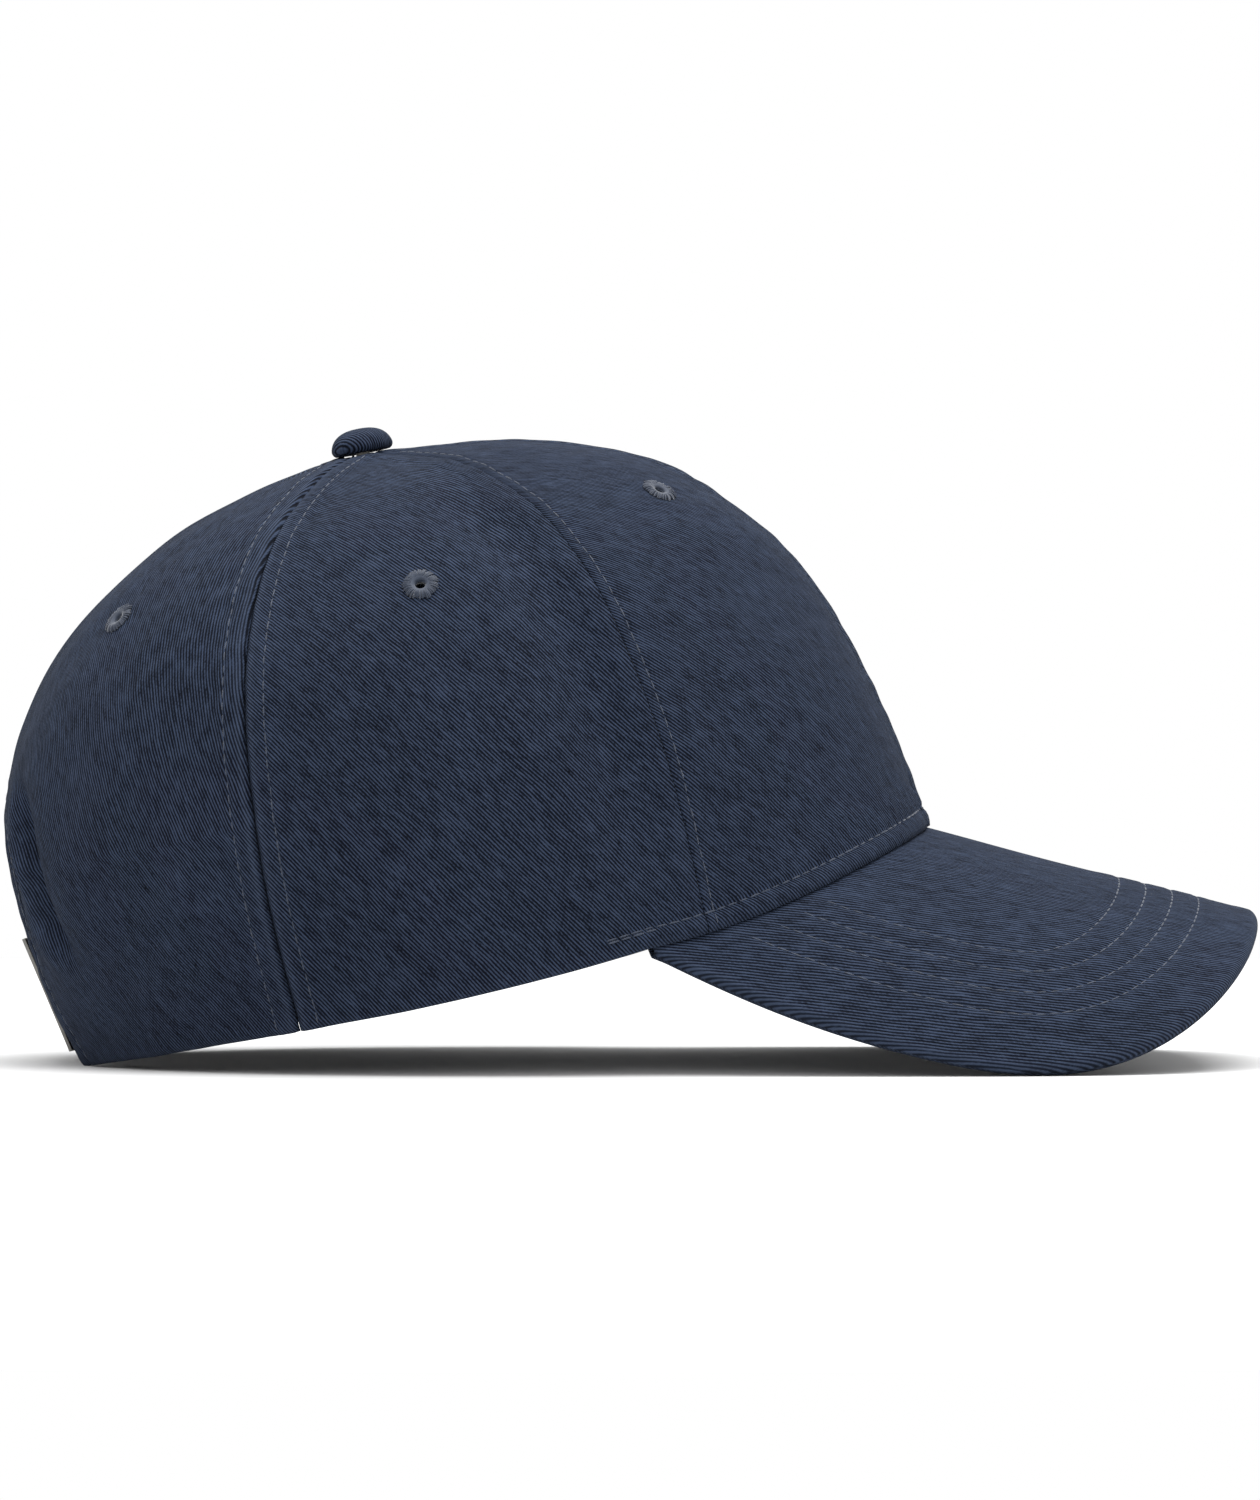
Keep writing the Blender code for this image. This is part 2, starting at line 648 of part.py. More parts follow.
def add_arch_facing(parent):
    """A strip behind the edge of the rear opening."""
    turns = np.linspace(0, math.pi / 2, 2 * ARCH_ROWS + 1)
    depths = (LINING_DEPTH, LINING_DEPTH + FACING_CLOTH)
    grids = []
    for depth in depths:
        columns = []
        for margin in np.linspace(GAP, FACING_WIDTH, 3):
            left = np.array([arch_point(turn, margin) for turn in turns])
            right = left[-2::-1] * (-1, 1) + (2 * math.pi, 0)
            path = np.concatenate([left, right])
            columns.append(crown(path[:, 0], path[:, 1], depth))
        grids.append(np.stack(columns, axis=1))
    add_object("arch_facing", shell(*grids), material("facing_cotton", NAVY_DARK, 0.9), parent)


# --------------------------------------------------------------------------------------------------
# Eyelets and button
# --------------------------------------------------------------------------------------------------


def eyelet_place(azimuth):
    """The matrix of an eyelet: its origin on the crown's outer face and z pointing out."""
    theta = math.radians(azimuth)
    button = np.array([-BUTTON_BACK, 0.0, CROWN_HEIGHT])

    def nearness(q):
        return -np.linalg.norm(crown_skin(theta, q) - button)

    q = find_rising(nearness, -EYELET_REACH, 0.2, 0.99)
    out = Vector(crown_out(theta, q))
    turn = out.to_track_quat("Z", "Y").to_matrix().to_4x4()
    return Matrix.Translation(Vector(crown_skin(theta, q))) @ turn


def add_eyelets(parent, panels):
    """A thread grommet in each panel, through a hole that goes through the lining too."""
    look = material("eyelet_thread", NAVY_THREAD, 0.8)
    for place, azimuth in (
        ("front", FRONT_SEAM / 2),
        ("side", (FRONT_SEAM + REAR_SEAM) / 2),
        ("rear", (REAR_SEAM + 180) / 2),
    ):
        wall = PANEL_CLOTH if place != "front" else LINING_DEPTH + LINING_CLOTH
        under = -wall - 2 * GAP
        top = GAP + EYELET_FLANGE_HEIGHT
        inner_flange = (EYELET_WAIST + EYELET_FLANGE) / 2
        profile = [
            (EYELET_BORE, top * EYELET_LIP),
            (EYELET_CROWN[0], top),
            (EYELET_CROWN[1], top),
            (EYELET_FLANGE, GAP),
            (EYELET_WAIST, GAP),
            (EYELET_WAIST, under),
            (inner_flange, under),
            (inner_flange, under - EYELET_BACK),
            (EYELET_BORE, under - EYELET_BACK),
        ]
        for side, word in ((1, "left"), (-1, "right")):
            frame = eyelet_place(side * azimuth)
            ring = add_object(f"eyelet_{place}_{word}", turned(profile, 16), look, parent)
            ring.matrix_local = frame
            cutter = add_object(f"cut_{place}_{word}", rod(EYELET_WAIST + GAP, EYELET_CUT), look, parent)
            cutter.matrix_local = frame
            names = [f"{place}_panel_{word}"] + ([f"front_lining_{word}"] if place == "front" else [])
            for name in names:
                helper(cutter, panels[name], "DIFFERENCE")


def dome(radius, height, foot):
    """(radius, height) points of a low dome, from its rim up to the axis."""
    points = []
    for angle in np.linspace(0, math.pi / 2, 7):
        wide = max(math.cos(angle), 0.0) ** BUTTON_FLATNESS
        points.append((radius * wide, foot + (height - foot) * math.sin(angle)))
    points[-1] = (0.0, height)
    return points


def add_button(parent):
    """The covered button: cloth over a metal shell, held by a post with a washer inside the crown."""
    seat = GAP
    foot = seat + BUTTON_RIM_HEIGHT
    turn_under = BUTTON_RADIUS * BUTTON_SEAT_SHARE
    shell_radius = BUTTON_RADIUS - BUTTON_CLOTH - GAP
    shell_top = BUTTON_HEIGHT - BUTTON_CLOTH - GAP
    cover_inside = dome(BUTTON_RADIUS - BUTTON_CLOTH, BUTTON_HEIGHT - BUTTON_CLOTH, foot)
    under_hem = BUTTON_RADIUS * BUTTON_HEM_SHARE
    cover = (
        [(under_hem, seat), (turn_under, seat)]
        + dome(BUTTON_RADIUS, BUTTON_HEIGHT, foot)
        + cover_inside[::-1]
        + [(turn_under - BUTTON_CLOTH, seat + BUTTON_CLOTH), (under_hem, seat + BUTTON_CLOTH)]
    )
    metal_foot = seat + BUTTON_CLOTH + GAP
    metal_rim = foot + GAP
    metal = (
        [(shell_radius - BUTTON_SHELL, metal_foot), (shell_radius - BUTTON_SHELL / 2, metal_foot)]
        + dome(shell_radius, shell_top, metal_rim)
        + dome(shell_radius - BUTTON_SHELL, shell_top - BUTTON_SHELL, metal_rim)[::-1]
    )
    post_top = shell_top - BUTTON_SHELL - GAP
    washer_top = -(TAPE_DEPTH + TAPE_CLOTH + 2 * GAP)
    washer_foot = washer_top - WASHER_THICKNESS
    post_foot = washer_foot - GAP
    hole = POST_RADIUS + GAP
    post = [
        (0.0, post_top),
        (POST_HEAD_RADIUS, post_top),
        (POST_HEAD_RADIUS, post_top - POST_HEAD_THICKNESS),
        (POST_RADIUS, post_top - POST_HEAD_THICKNESS),
        (POST_RADIUS, post_foot),
        (POST_HEAD_RADIUS, post_foot),
        (POST_HEAD_RADIUS * POST_RIVET_SHARE, post_foot - POST_HEAD_THICKNESS),
        (0.0, post_foot - POST_HEAD_THICKNESS),
    ]
    washer = [
        (hole, washer_top),
        (WASHER_RADIUS, washer_top),
        (WASHER_RADIUS, washer_foot),
        (hole, washer_foot),
    ]
    steel = material("button_steel", STEEL, 0.35, 1.0)
    pieces = {
        "button_cover": (cover, material("button_twill", NAVY, 0.9)),
        "button_shell": (metal, steel),
        "button_post": (post, steel),
        "button_washer": (washer, steel),
    }
    for name, (profile, look) in pieces.items():
        made = add_object(name, turned(profile), look, parent)
        made.location = (-BUTTON_BACK, 0.0, CROWN_HEIGHT)


# --------------------------------------------------------------------------------------------------
# Strap and clasp
# --------------------------------------------------------------------------------------------------


def strap_frame():
    """Where the strap's upright axis stands, the middle of its height and how far its wall leans."""
    middle = STRAP_FOOT + STRAP_WIDTH / 2
    edges = (STRAP_FOOT, STRAP_FOOT + STRAP_WIDTH)
    low, high = (crown_skin(math.pi, q_at_height(math.pi, height)) for height in edges)
    lean = math.atan2(low[0] - high[0], high[2] - low[2])
    outside = crown_skin(math.pi, q_at_height(math.pi, middle))[0] + STRAP_DEPTH / math.cos(lean)
    return outside + STRAP_RADIUS, middle, lean


def round_strap(along, up, depth):
    """A point by the strap: angle to the left, distance up its width and depth below its outer face."""
    axis_u, middle, lean = strap_frame()
    radius = STRAP_RADIUS + up * math.sin(lean) - depth * math.cos(lean)
    angle = math.radians(along)
    height = middle + up * math.cos(lean) + depth * math.sin(lean)
    return (axis_u - radius * math.cos(angle), radius * math.sin(angle), height)


def bent_strip(start, end, depth, thickness, low, high):
    """A strip that follows the strap's path, between two angles and two heights."""
    steps = max(1, round((end - start) / STRAP_STEP))
    angles = np.linspace(start, end, steps + 1)
    faces = []
    for layer in (depth, depth + thickness):
        faces.append(np.array([[round_strap(a, up, layer) for a in angles] for up in (low, high)]))
    return shell(*faces)


def add_strap(parent):
    half = STRAP_WIDTH / 2
    body = bent_strip(STRAP_RIGHT_END, STRAP_LEFT_END, 0.0, STRAP_CLOTH, -half, half)
    axis = Vector((strap_frame()[0], 0.0, 0.0))
    bmesh.ops.translate(body, verts=body.verts, vec=-axis)
    strap = add_object("strap", body, material("strap_twill", NAVY, 0.9), parent)
    strap.location = axis


def strap_angle(length):
    """The angle that a length takes up round the strap's axis."""
    return math.degrees(length / STRAP_RADIUS)


def pin_frame(depth):
    """The pin's place: x to the right along the strap, y out of it and z down the pin."""
    _, _, lean = strap_frame()
    angle = math.radians(PIN_AT)
    outward = Vector((-math.cos(angle), math.sin(angle), 0.0))
    along_strap = Vector((-math.sin(angle), -math.cos(angle), 0.0))
    out = outward * math.cos(lean) + Vector((0, 0, -math.sin(lean)))
    turn = Matrix((along_strap, out, along_strap.cross(out))).transposed().to_4x4()
    return Matrix.Translation(round_strap(PIN_AT, 0.0, depth)) @ turn


def rod(radius, half_length, segments=16):
    """A round bar along z."""
    outline = [(0, half_length), (radius, half_length), (radius, -half_length), (0, -half_length)]
    return turned(outline, segments)


def lever_body(half_height):
    """The lever: a flat plate that narrows to its tip, out of a barrel that the pin goes through."""
    meeting = math.asin((BARREL_RADIUS - LEVER_PLATE) / BARREL_RADIUS)
    tip = BARREL_RADIUS - LEVER_DROP
    outline = [(0.0, BARREL_RADIUS), (LEVER_LENGTH, tip), (LEVER_LENGTH, tip - LEVER_PLATE)]
    for k in range(BARREL_STEPS):
        angle = meeting - (1.5 * math.pi + meeting) * k / BARREL_STEPS
        outline.append((BARREL_RADIUS * math.cos(angle), BARREL_RADIUS * math.sin(angle)))
    body = bmesh.new()
    low = [body.verts.new((x, y, -half_height)) for x, y in outline]
    face = body.faces.new(low)
    grown = bmesh.ops.extrude_face_region(body, geom=[face])
    moved = [v for v in grown["geom"] if isinstance(v, bmesh.types.BMVert)]
    bmesh.ops.translate(body, verts=moved, vec=(0, 0, 2 * half_height))
    for corner in body.verts:
        if corner.co.x == outline[1][0]:
            corner.co.z *= LEVER_TIP_HALF_HEIGHT / half_height
    return body


def helper(made, target, operation):
    """Makes an object a hidden operand that is joined to, or cut from, another."""
    made.hide_render = True
    made.display_type = "WIRE"
    step = target.modifiers.new(made.name, "BOOLEAN")
    step.operation = operation
    step.object = made


def add_clasp(parent):
    """The clasp: a plate behind the strap with two ears, a pin through them, and a lever over the strap."""
    steel = material("clasp_steel", STEEL, 0.3, 1.0)
    wall = STRAP_WIDTH / 2 + CLASP_CLEARANCE
    ear = wall + CLASP_PLATE
    plate_top = STRAP_CLOTH + CLASP_CLEARANCE
    pin_depth = -(CLASP_CLEARANCE + BARREL_RADIUS)
    ear_top = pin_depth - PIN_RADIUS - CLASP_PLATE
    plate_edge = (wall + ear) / 2
    plate = bent_strip(CLASP_START, CLASP_END, plate_top, CLASP_PLATE, -plate_edge, plate_edge)
    frame = add_object("clasp_frame", plate, steel, parent)
    ear_depth = plate_top + CLASP_PLATE / 2 - ear_top
    for word, low, high in (("lower", -ear, -wall), ("upper", wall, ear)):
        shape = bent_strip(EAR_START, EAR_END, ear_top, ear_depth, low, high)
        helper(add_object(f"join_{word}_ear", shape, steel, parent), frame, "UNION")
    place = pin_frame(pin_depth)
    hole = add_object("cut_pin_hole", rod(PIN_RADIUS + GAP, ear + CLASP_PLATE), steel, parent)
    hole.matrix_local = place
    helper(hole, frame, "DIFFERENCE")
    pin = add_object("clasp_pin", rod(PIN_RADIUS, ear + GAP), steel, parent)
    pin.matrix_local = place
    lever = add_object("clasp_lever", lever_body(wall - GAP), steel, parent)
    lever.matrix_local = place
    bore = add_object("cut_lever_bore", rod(PIN_RADIUS + GAP, ear), steel, parent)
    bore.matrix_local = place
    helper(bore, lever, "DIFFERENCE")
    start = CLASP_END + strap_angle(GAP)
    half = STRAP_WIDTH / 2
    loop = bent_strip(start, LOOP_END, plate_top, LOOP_CLOTH, -half, half)
    add_object("clasp_loop", loop, material("strap_twill", NAVY, 0.9), parent)


# --------------------------------------------------------------------------------------------------
# Assembly
# --------------------------------------------------------------------------------------------------


def cap_points(cap):
    """Every point of the finished pieces, in the cap's own frame."""
    bpy.context.view_layer.update()
    graph = bpy.context.evaluated_depsgraph_get()
    points = []
    for piece in bpy.data.objects:
        if piece.type == "MESH" and not piece.hide_render:
            shape = piece.evaluated_get(graph)
            place = cap.matrix_world.inverted() @ piece.matrix_world
            points += [place @ vertex.co for vertex in shape.data.vertices]
    return np.array(points)


def stand_on_table(cap):
    """Tips the cap back until brim and rear hem touch one level plane, and puts that plane at z = 0."""
    points = cap_points(cap)
    front, rear = points[points[:, 0] > 0], points[points[:, 0] < 0]

    def brim_over_hem(tip):
        lift = np.array([math.sin(tip), 0.0, math.cos(tip)])
        return (front @ lift).min() - (rear @ lift).min()

    tip = find_rising(brim_over_hem, 0.0, 0.0, math.radians(STEEPEST_TIP))
    turn = Matrix.Rotation(-tip, 3, "Y")
    turned_points = points @ np.array(turn).T
    low, high = turned_points.min(axis=0), turned_points.max(axis=0)
    cap.rotation_euler = (0.0, -tip, 0.0)
    cap.location = (-(low[0] + high[0]) / 2, -(low[1] + high[1]) / 2, -low[2])


def main():
    clear_scene()
    cap = bpy.data.objects.new("cap_frame", None)
    bpy.context.scene.collection.objects.link(cap)
    panels = add_panels(cap)
    add_tapes(cap)
    add_band(cap)
    add_arch_facing(cap)
    add_eyelets(cap, panels)
    add_button(cap)
    add_brim(cap)
    add_strap(cap)
    add_clasp(cap)
    stand_on_table(cap)


main()
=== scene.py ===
# %% [markdown]
# # A six-panel baseball cap
# A cap is a small sewing project: six cloth panels, a brim board between two covers, a covered button,
# thread eyelets, tapes over the seams inside, a sweatband and a strap with a clasp. This lesson rebuilds
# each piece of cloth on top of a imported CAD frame, which already fixes every size and every joint.

import json
import math

import bmesh
import bpy
import numpy as np
from mathutils import Matrix, Vector


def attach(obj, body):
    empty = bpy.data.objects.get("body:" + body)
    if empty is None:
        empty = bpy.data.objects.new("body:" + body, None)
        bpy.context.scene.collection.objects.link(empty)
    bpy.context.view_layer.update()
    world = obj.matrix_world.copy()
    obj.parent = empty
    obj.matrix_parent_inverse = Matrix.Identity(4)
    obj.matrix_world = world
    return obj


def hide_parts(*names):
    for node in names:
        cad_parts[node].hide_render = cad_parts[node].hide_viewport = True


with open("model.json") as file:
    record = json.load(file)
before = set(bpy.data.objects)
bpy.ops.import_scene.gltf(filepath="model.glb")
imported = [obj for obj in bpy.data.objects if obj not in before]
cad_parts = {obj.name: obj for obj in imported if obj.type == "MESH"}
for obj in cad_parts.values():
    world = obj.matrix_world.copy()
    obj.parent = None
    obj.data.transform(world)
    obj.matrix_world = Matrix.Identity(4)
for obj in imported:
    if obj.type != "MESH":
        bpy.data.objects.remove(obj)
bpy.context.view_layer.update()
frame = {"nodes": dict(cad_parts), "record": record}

# %% [markdown]
# ## The cap's own frame
# A cap rests tipped back, on the two low sides of its brim and on its rear hem. Its shape is far easier
# to write square to the hem: u forward, v to the wearer's left and w up. The record's head opening gives
# the middle of the hem and the way down out of it, so one rotation takes the cap's frame to the world.

# %% From the cap's frame to the world
opening = frame["record"]["mounts"][0]
HEM_MIDDLE = np.array(opening["pos_m"])
tip = math.atan2(opening["axis"][0], -opening["axis"][2])
TIP = np.array(Matrix.Rotation(-tip, 3, "Y"))


def to_world(points):
    return np.asarray(points) @ TIP.T + HEM_MIDDLE


print(f"tipped back by {math.degrees(tip):.2f} degrees")

# %% [markdown]
# ## The crown's surface
# Every meridian of the crown is a cubic Bezier curve, from the hem's ellipse up to the button. Its handles
# change smoothly from front to side to back. Panels, linings, tapes, stitches and eyelets all ask this one
# surface where they lie, which is why they fit each other.

# %% Crown sizes, in metres and degrees
MM = 0.001
HEAD_HALF_LENGTH, HEAD_HALF_WIDTH, FRONT_RISE = 0.098, 0.079, 0.016
CROWN_HEIGHT, BUTTON_BACK = 0.1212, 0.0096
LEAN, RISE = (-0.0112, 0.0066, 0.0246), (0.0855, 0.0900, 0.0610)
REACH, DROP = (0.60, 0.65, 0.86), (0.0028, 0.0070, 0.0057)
FRONT_SEAM, REAR_SEAM, BACK_SEAM = math.radians(62.3), math.radians(116.5), math.pi
CROWN_HOLE = 0.0042
PANEL_CLOTH = 0.0008

# %% Crown surface
def round_values(values, theta):
    front, side, rear = values
    ends = (front + rear) / 2
    return (ends + side) / 2 + (front - rear) / 2 * np.cos(theta) + (ends - side) / 2 * np.cos(2 * theta)


def crown_skin(theta, q):
    """Points of the smooth crown: theta from the front to the left, q from 0 (hem) to 1 (button)."""
    theta, q = np.broadcast_arrays(np.asarray(theta, float), np.asarray(q, float))
    hem_u = HEAD_HALF_LENGTH * np.cos(theta)
    hem_v = HEAD_HALF_WIDTH * np.sin(theta)
    hem_w = FRONT_RISE * np.maximum(np.cos(theta), 0) ** 2
    out_u, out_v = hem_u + BUTTON_BACK, hem_v
    radius = np.hypot(out_u, out_v)
    out_u, out_v = out_u / radius, out_v / radius
    lean = round_values(LEAN, theta)
    reach = radius * round_values(REACH, theta)
    zero = np.zeros_like(theta)
    corners = (
        (hem_u, hem_v, hem_w),
        (hem_u + out_u * lean, hem_v + out_v * lean, hem_w + round_values(RISE, theta)),
        (out_u * reach - BUTTON_BACK, out_v * reach, CROWN_HEIGHT - round_values(DROP, theta)),
        (zero - BUTTON_BACK, zero, zero + CROWN_HEIGHT),
    )
    weights = ((1 - q) ** 3, 3 * (1 - q) ** 2 * q, 3 * (1 - q) * q * q, q**3)
    return sum(k[..., None] * np.stack(c, axis=-1) for k, c in zip(weights, corners, strict=True))


def crown_out(theta, q):
    step = 1e-4
    around = crown_skin(np.add(theta, step), q) - crown_skin(np.subtract(theta, step), q)
    upward = crown_skin(theta, np.add(q, step)) - crown_skin(theta, np.subtract(q, step))
    out = np.cross(around, upward)
    return out / np.linalg.norm(out, axis=-1, keepdims=True)


def metres_per_radian(theta, q):
    step = 1e-3
    sideways = crown_skin(np.add(theta, step), q) - crown_skin(np.subtract(theta, step), q)
    return np.linalg.norm(sideways, axis=-1) / (2 * step)


def run_lengths(line):
    """The length along a line of points, from its start to each of them."""
    return np.concatenate([[0], np.cumsum(np.linalg.norm(np.diff(line, axis=0), axis=1))])


def find_rising(value_at, target, low, high):
    """Where rising functions reach their targets, for whole arrays at once."""
    low, high = (np.array(np.broadcast_to(x, np.shape(target)), float) for x in (low, high))
    for _ in range(36):
        middle = (low + high) / 2
        under = value_at(middle) < target
        low, high = np.where(under, middle, low), np.where(under, high, middle)
    return (low + high) / 2


def q_at_height(theta, height):
    theta, height = np.broadcast_arrays(np.asarray(theta, float), np.asarray(height, float))
    return find_rising(lambda q: crown_skin(theta, q)[..., 2], height, -0.1, 0.8)


def q_at_radius(theta, radius):
    theta, radius = np.broadcast_arrays(np.asarray(theta, float), np.asarray(radius, float))

    def closeness(q):
        place = crown_skin(theta, q)
        return -np.hypot(place[..., 0] + BUTTON_BACK, place[..., 1])
    return find_rising(closeness, -radius, 0.3, 1.0)


print("crown, top of the back seam:", np.round(crown_skin(BACK_SEAM, 0.5), 4))

# %% [markdown]
# ## The brim's surface
# The brim is a flat plate bent round a cylinder, whose ridge slopes down forwards. Its outline, its stitch
# rows and its weave are all drawn on the flat pattern, as they are on the real board, and then bent.

# %% Brim sizes and surface
BEND_RADIUS, BRIM_SLOPE, BRIM_LENGTH, HALF_SPREAD = 0.090, math.radians(25.0), 0.0752, 0.0955
WIDEST_AT, TIP_SQUARENESS, SIDE_SQUARENESS = 0.004, 2.7, 1.85
BRIM_CORNER = math.radians(70.0)
BRIM_TUCK, BRIM_THICKNESS, BRIM_ROUND = 0.0016, 0.0042, 0.0018
HEM_CLEARANCE, HEM_FADE = 0.0006, math.radians(40.0)


def brim(forward, across, depth=0.0):
    forward, across, depth = np.broadcast_arrays(forward, across, depth)
    turn = across / BEND_RADIUS
    radius = BEND_RADIUS - depth
    lift = radius * np.cos(turn) - BEND_RADIUS
    return np.stack([
        HEAD_HALF_LENGTH + forward * math.cos(BRIM_SLOPE) + lift * math.sin(BRIM_SLOPE),
        radius * np.sin(turn),
        FRONT_RISE - forward * math.sin(BRIM_SLOPE) + lift * math.cos(BRIM_SLOPE),
    ], axis=-1)


def brim_pattern(u, v):
    lift = np.sqrt(BEND_RADIUS**2 - v**2) - BEND_RADIUS
    forward = (u - HEAD_HALF_LENGTH - lift * math.sin(BRIM_SLOPE)) / math.cos(BRIM_SLOPE)
    return np.stack([forward, BEND_RADIUS * np.arcsin(v / BEND_RADIUS)], axis=-1)


def head_edge(theta, inset=0.0):
    u, v = HEAD_HALF_LENGTH * np.cos(theta), HEAD_HALF_WIDTH * np.sin(theta)
    out = np.stack([np.cos(theta) / HEAD_HALF_LENGTH, np.sin(theta) / HEAD_HALF_WIDTH])
    out = out / np.linalg.norm(out, axis=0)
    return u - inset * out[0], v - inset * out[1]


def hem_height(theta, inset=0.0):
    """The crown's lower edge: on the brim in front, and down to the hem's plane behind its corners."""
    turned_to = np.minimum(np.abs(theta), BRIM_CORNER)
    on_brim = brim(*np.moveaxis(brim_pattern(*head_edge(turned_to, inset)), -1, 0))[..., 2] + HEM_CLEARANCE
    fade = np.clip(1 - (np.abs(theta) - BRIM_CORNER) / HEM_FADE, 0, 1)
    return on_brim * fade**2


def smooth(x, low, high):
    """0 up to low and 1 from high on, with a smooth rise between."""
    t = np.clip((x - low) / (high - low), 0, 1)
    return t * t * (3 - 2 * t)


def even_line(points, count):
    """A line of points spread evenly by length."""
    lengths = run_lengths(points)
    at = np.linspace(0, lengths[-1], count)
    return np.stack([np.interp(at, lengths, points[:, k]) for k in range(points.shape[1])], axis=1)


def brim_outline(count):
    """The brim's edge in its flat pattern, from the right corner round the tip to the left corner."""
    corner = brim_pattern(*head_edge(BRIM_CORNER))
    angle = np.linspace(0, math.pi / 2, 300)
    power = 2 / TIP_SQUARENESS
    tip_part = np.stack([
        WIDEST_AT + (BRIM_LENGTH - WIDEST_AT) * np.cos(angle) ** power,
        HALF_SPREAD * np.sin(angle) ** power,
    ], axis=1)
    share = np.linspace(0, 1, 150)[1:]
    side_part = np.stack([
        WIDEST_AT - (WIDEST_AT - corner[0]) * share,
        HALF_SPREAD - (HALF_SPREAD - corner[1]) * share**SIDE_SQUARENESS,
    ], axis=1)
    left = np.concatenate([tip_part, side_part])
    return even_line(np.concatenate([left[:0:-1] * (1, -1), left]), count)


edge_length = np.linalg.norm(np.diff(brim_outline(600), axis=0), axis=1).sum()
print(f"brim edge: {edge_length * 1000:.0f} mm along the flat pattern")

# %% [markdown]
# ## Cloth as an object
# Each piece of cloth starts as one grid of points, rows up and columns along. A Solidify modifier gives it
# its thickness inwards, so a hole cut in the grid also gets walls. The UV map is in metres, measured along
# the cloth, because a weave has to keep its true size and follow the cloth round every bend. A second
# attribute says where the cloth is paled: along edges and seams, where washing takes the colour out, and on
# one fold ridge beside the rear opening, where the paling is a painted highlight.


def linked(name, data):
    """A new object in the scene that shows this data."""
    made = bpy.data.objects.new(name, data)
    bpy.context.scene.collection.objects.link(made)
    return made


def apply_modifiers(piece):
    graph = bpy.context.evaluated_depsgraph_get()
    finished = bpy.data.meshes.new_from_object(piece.evaluated_get(graph))
    piece.modifiers.clear()
    piece.data = finished
    return piece


def cloth_uv(points):
    """Distances along the rows and up the columns of a grid, both measured from its middle."""
    rows, columns = points.shape[:2]
    along = np.zeros((rows, columns))
    along[:, 1:] = np.cumsum(np.linalg.norm(np.diff(points, axis=1), axis=2), axis=1)
    along -= along[:, columns // 2][:, None]
    up = np.zeros((rows, columns))
    up[1:] = np.cumsum(np.linalg.norm(np.diff(points, axis=0), axis=2), axis=0)
    return np.stack([along, up], axis=-1)


def grid_object(name, points, uv=None, worn_and_highlight=None, cut=None):
    """An object from a grid of world points, whose faces point to the left of its columns' way up."""
    rows, columns = points.shape[:2]
    number = np.arange(rows * columns).reshape(rows, columns)
    corners = np.stack([number[:-1, :-1], number[:-1, 1:], number[1:, 1:], number[1:, :-1]], axis=-1)
    corners = corners.reshape(-1, 4)
    if cut is not None:
        middles = points.reshape(-1, 3)[corners].mean(axis=1)
        corners = corners[~cut(middles)]
    mesh = bpy.data.meshes.new(name)
    mesh.from_pydata(points.reshape(-1, 3).tolist(), [], corners.tolist())
    flat = (cloth_uv(points) if uv is None else uv).reshape(-1, 2)
    layer = mesh.uv_layers.new(name="cloth")
    layer.uv.foreach_set("vector", flat[corners.reshape(-1)].astype(np.float32).ravel())
    wear_and_highlight = mesh.attributes.new("worn_and_highlight", "FLOAT", "POINT")
    values = np.zeros(rows * columns) if worn_and_highlight is None else worn_and_highlight.ravel()
    wear_and_highlight.data.foreach_set("value", values.astype(np.float32))
    tidy = bmesh.new()
    tidy.from_mesh(mesh)
    bmesh.ops.delete(tidy, geom=[v for v in tidy.verts if not v.link_faces], context="VERTS")
    tidy.to_mesh(mesh)
    tidy.free()
    mesh.shade_smooth()
    return linked(name, mesh)


def thicken(piece, thickness, rim=0.0):
    """Gives a sheet its thickness inwards, with a bevelled soft edge when rim is set."""
    solid = piece.modifiers.new("cloth thickness", "SOLIDIFY")
    solid.thickness = thickness
    solid.offset = -1.0
    if rim:
        bevel = piece.modifiers.new("soft edge", "BEVEL")
        bevel.width = rim
        bevel.segments = 2
        bevel.limit_method = "ANGLE"
        bevel.angle_limit = math.radians(60)
    apply_modifiers(piece)
    piece.data.shade_smooth()
    return piece


def finish_piece(piece, material, body, slot, *nodes):
    """Gives a finished piece its look, its body and the CAD nodes it stands for."""
    piece.data.materials.clear()
    piece.data.materials.append(material)
    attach(piece, body)
    if nodes:
        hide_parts(*nodes)
    return piece


print("cloth helpers ready")

# %% [markdown]
# ## Relief of a sewn crown
# Two stiff seam allowances lie under each seam, held by a line of stitches on either side. So a seam shows
# as a narrow groove between two raised bands, each ending in a dimpled stitch line, with small puckers
# beyond it. Cloth between the seams is soft and never quite even. All of it is one height function, which
# the panels and everything sewn on them share.

# %% Relief
SEAM_STITCH = {FRONT_SEAM: (0.0022, 0.0052), REAR_SEAM: (0.0046, 0.0050), 0.0: (0.0048, 0.0048)}
SEAM_STRENGTH = {FRONT_SEAM: 0.28, REAR_SEAM: 1.0, 0.0: 1.0}
BACK_STITCH, ALLOWANCE_FALL = 0.0046, 0.0022
JOIN_STITCH = 0.0042  # the line over the brim's join stands this far above the hem
ARCH_HALF_WIDTH, ARCH_HEIGHT, ARCH_SQUARENESS = 0.0235, 0.060, 2.3
ARCH_STITCH = 0.0036
ARCH_FOLDS = ((0.0140, 0.0018, 0.0034), (0.0200, -0.0032, 0.0030), (0.0290, 0.0009, 0.0060))


def bell(x, width):
    return np.exp(-((x / width) ** 2))


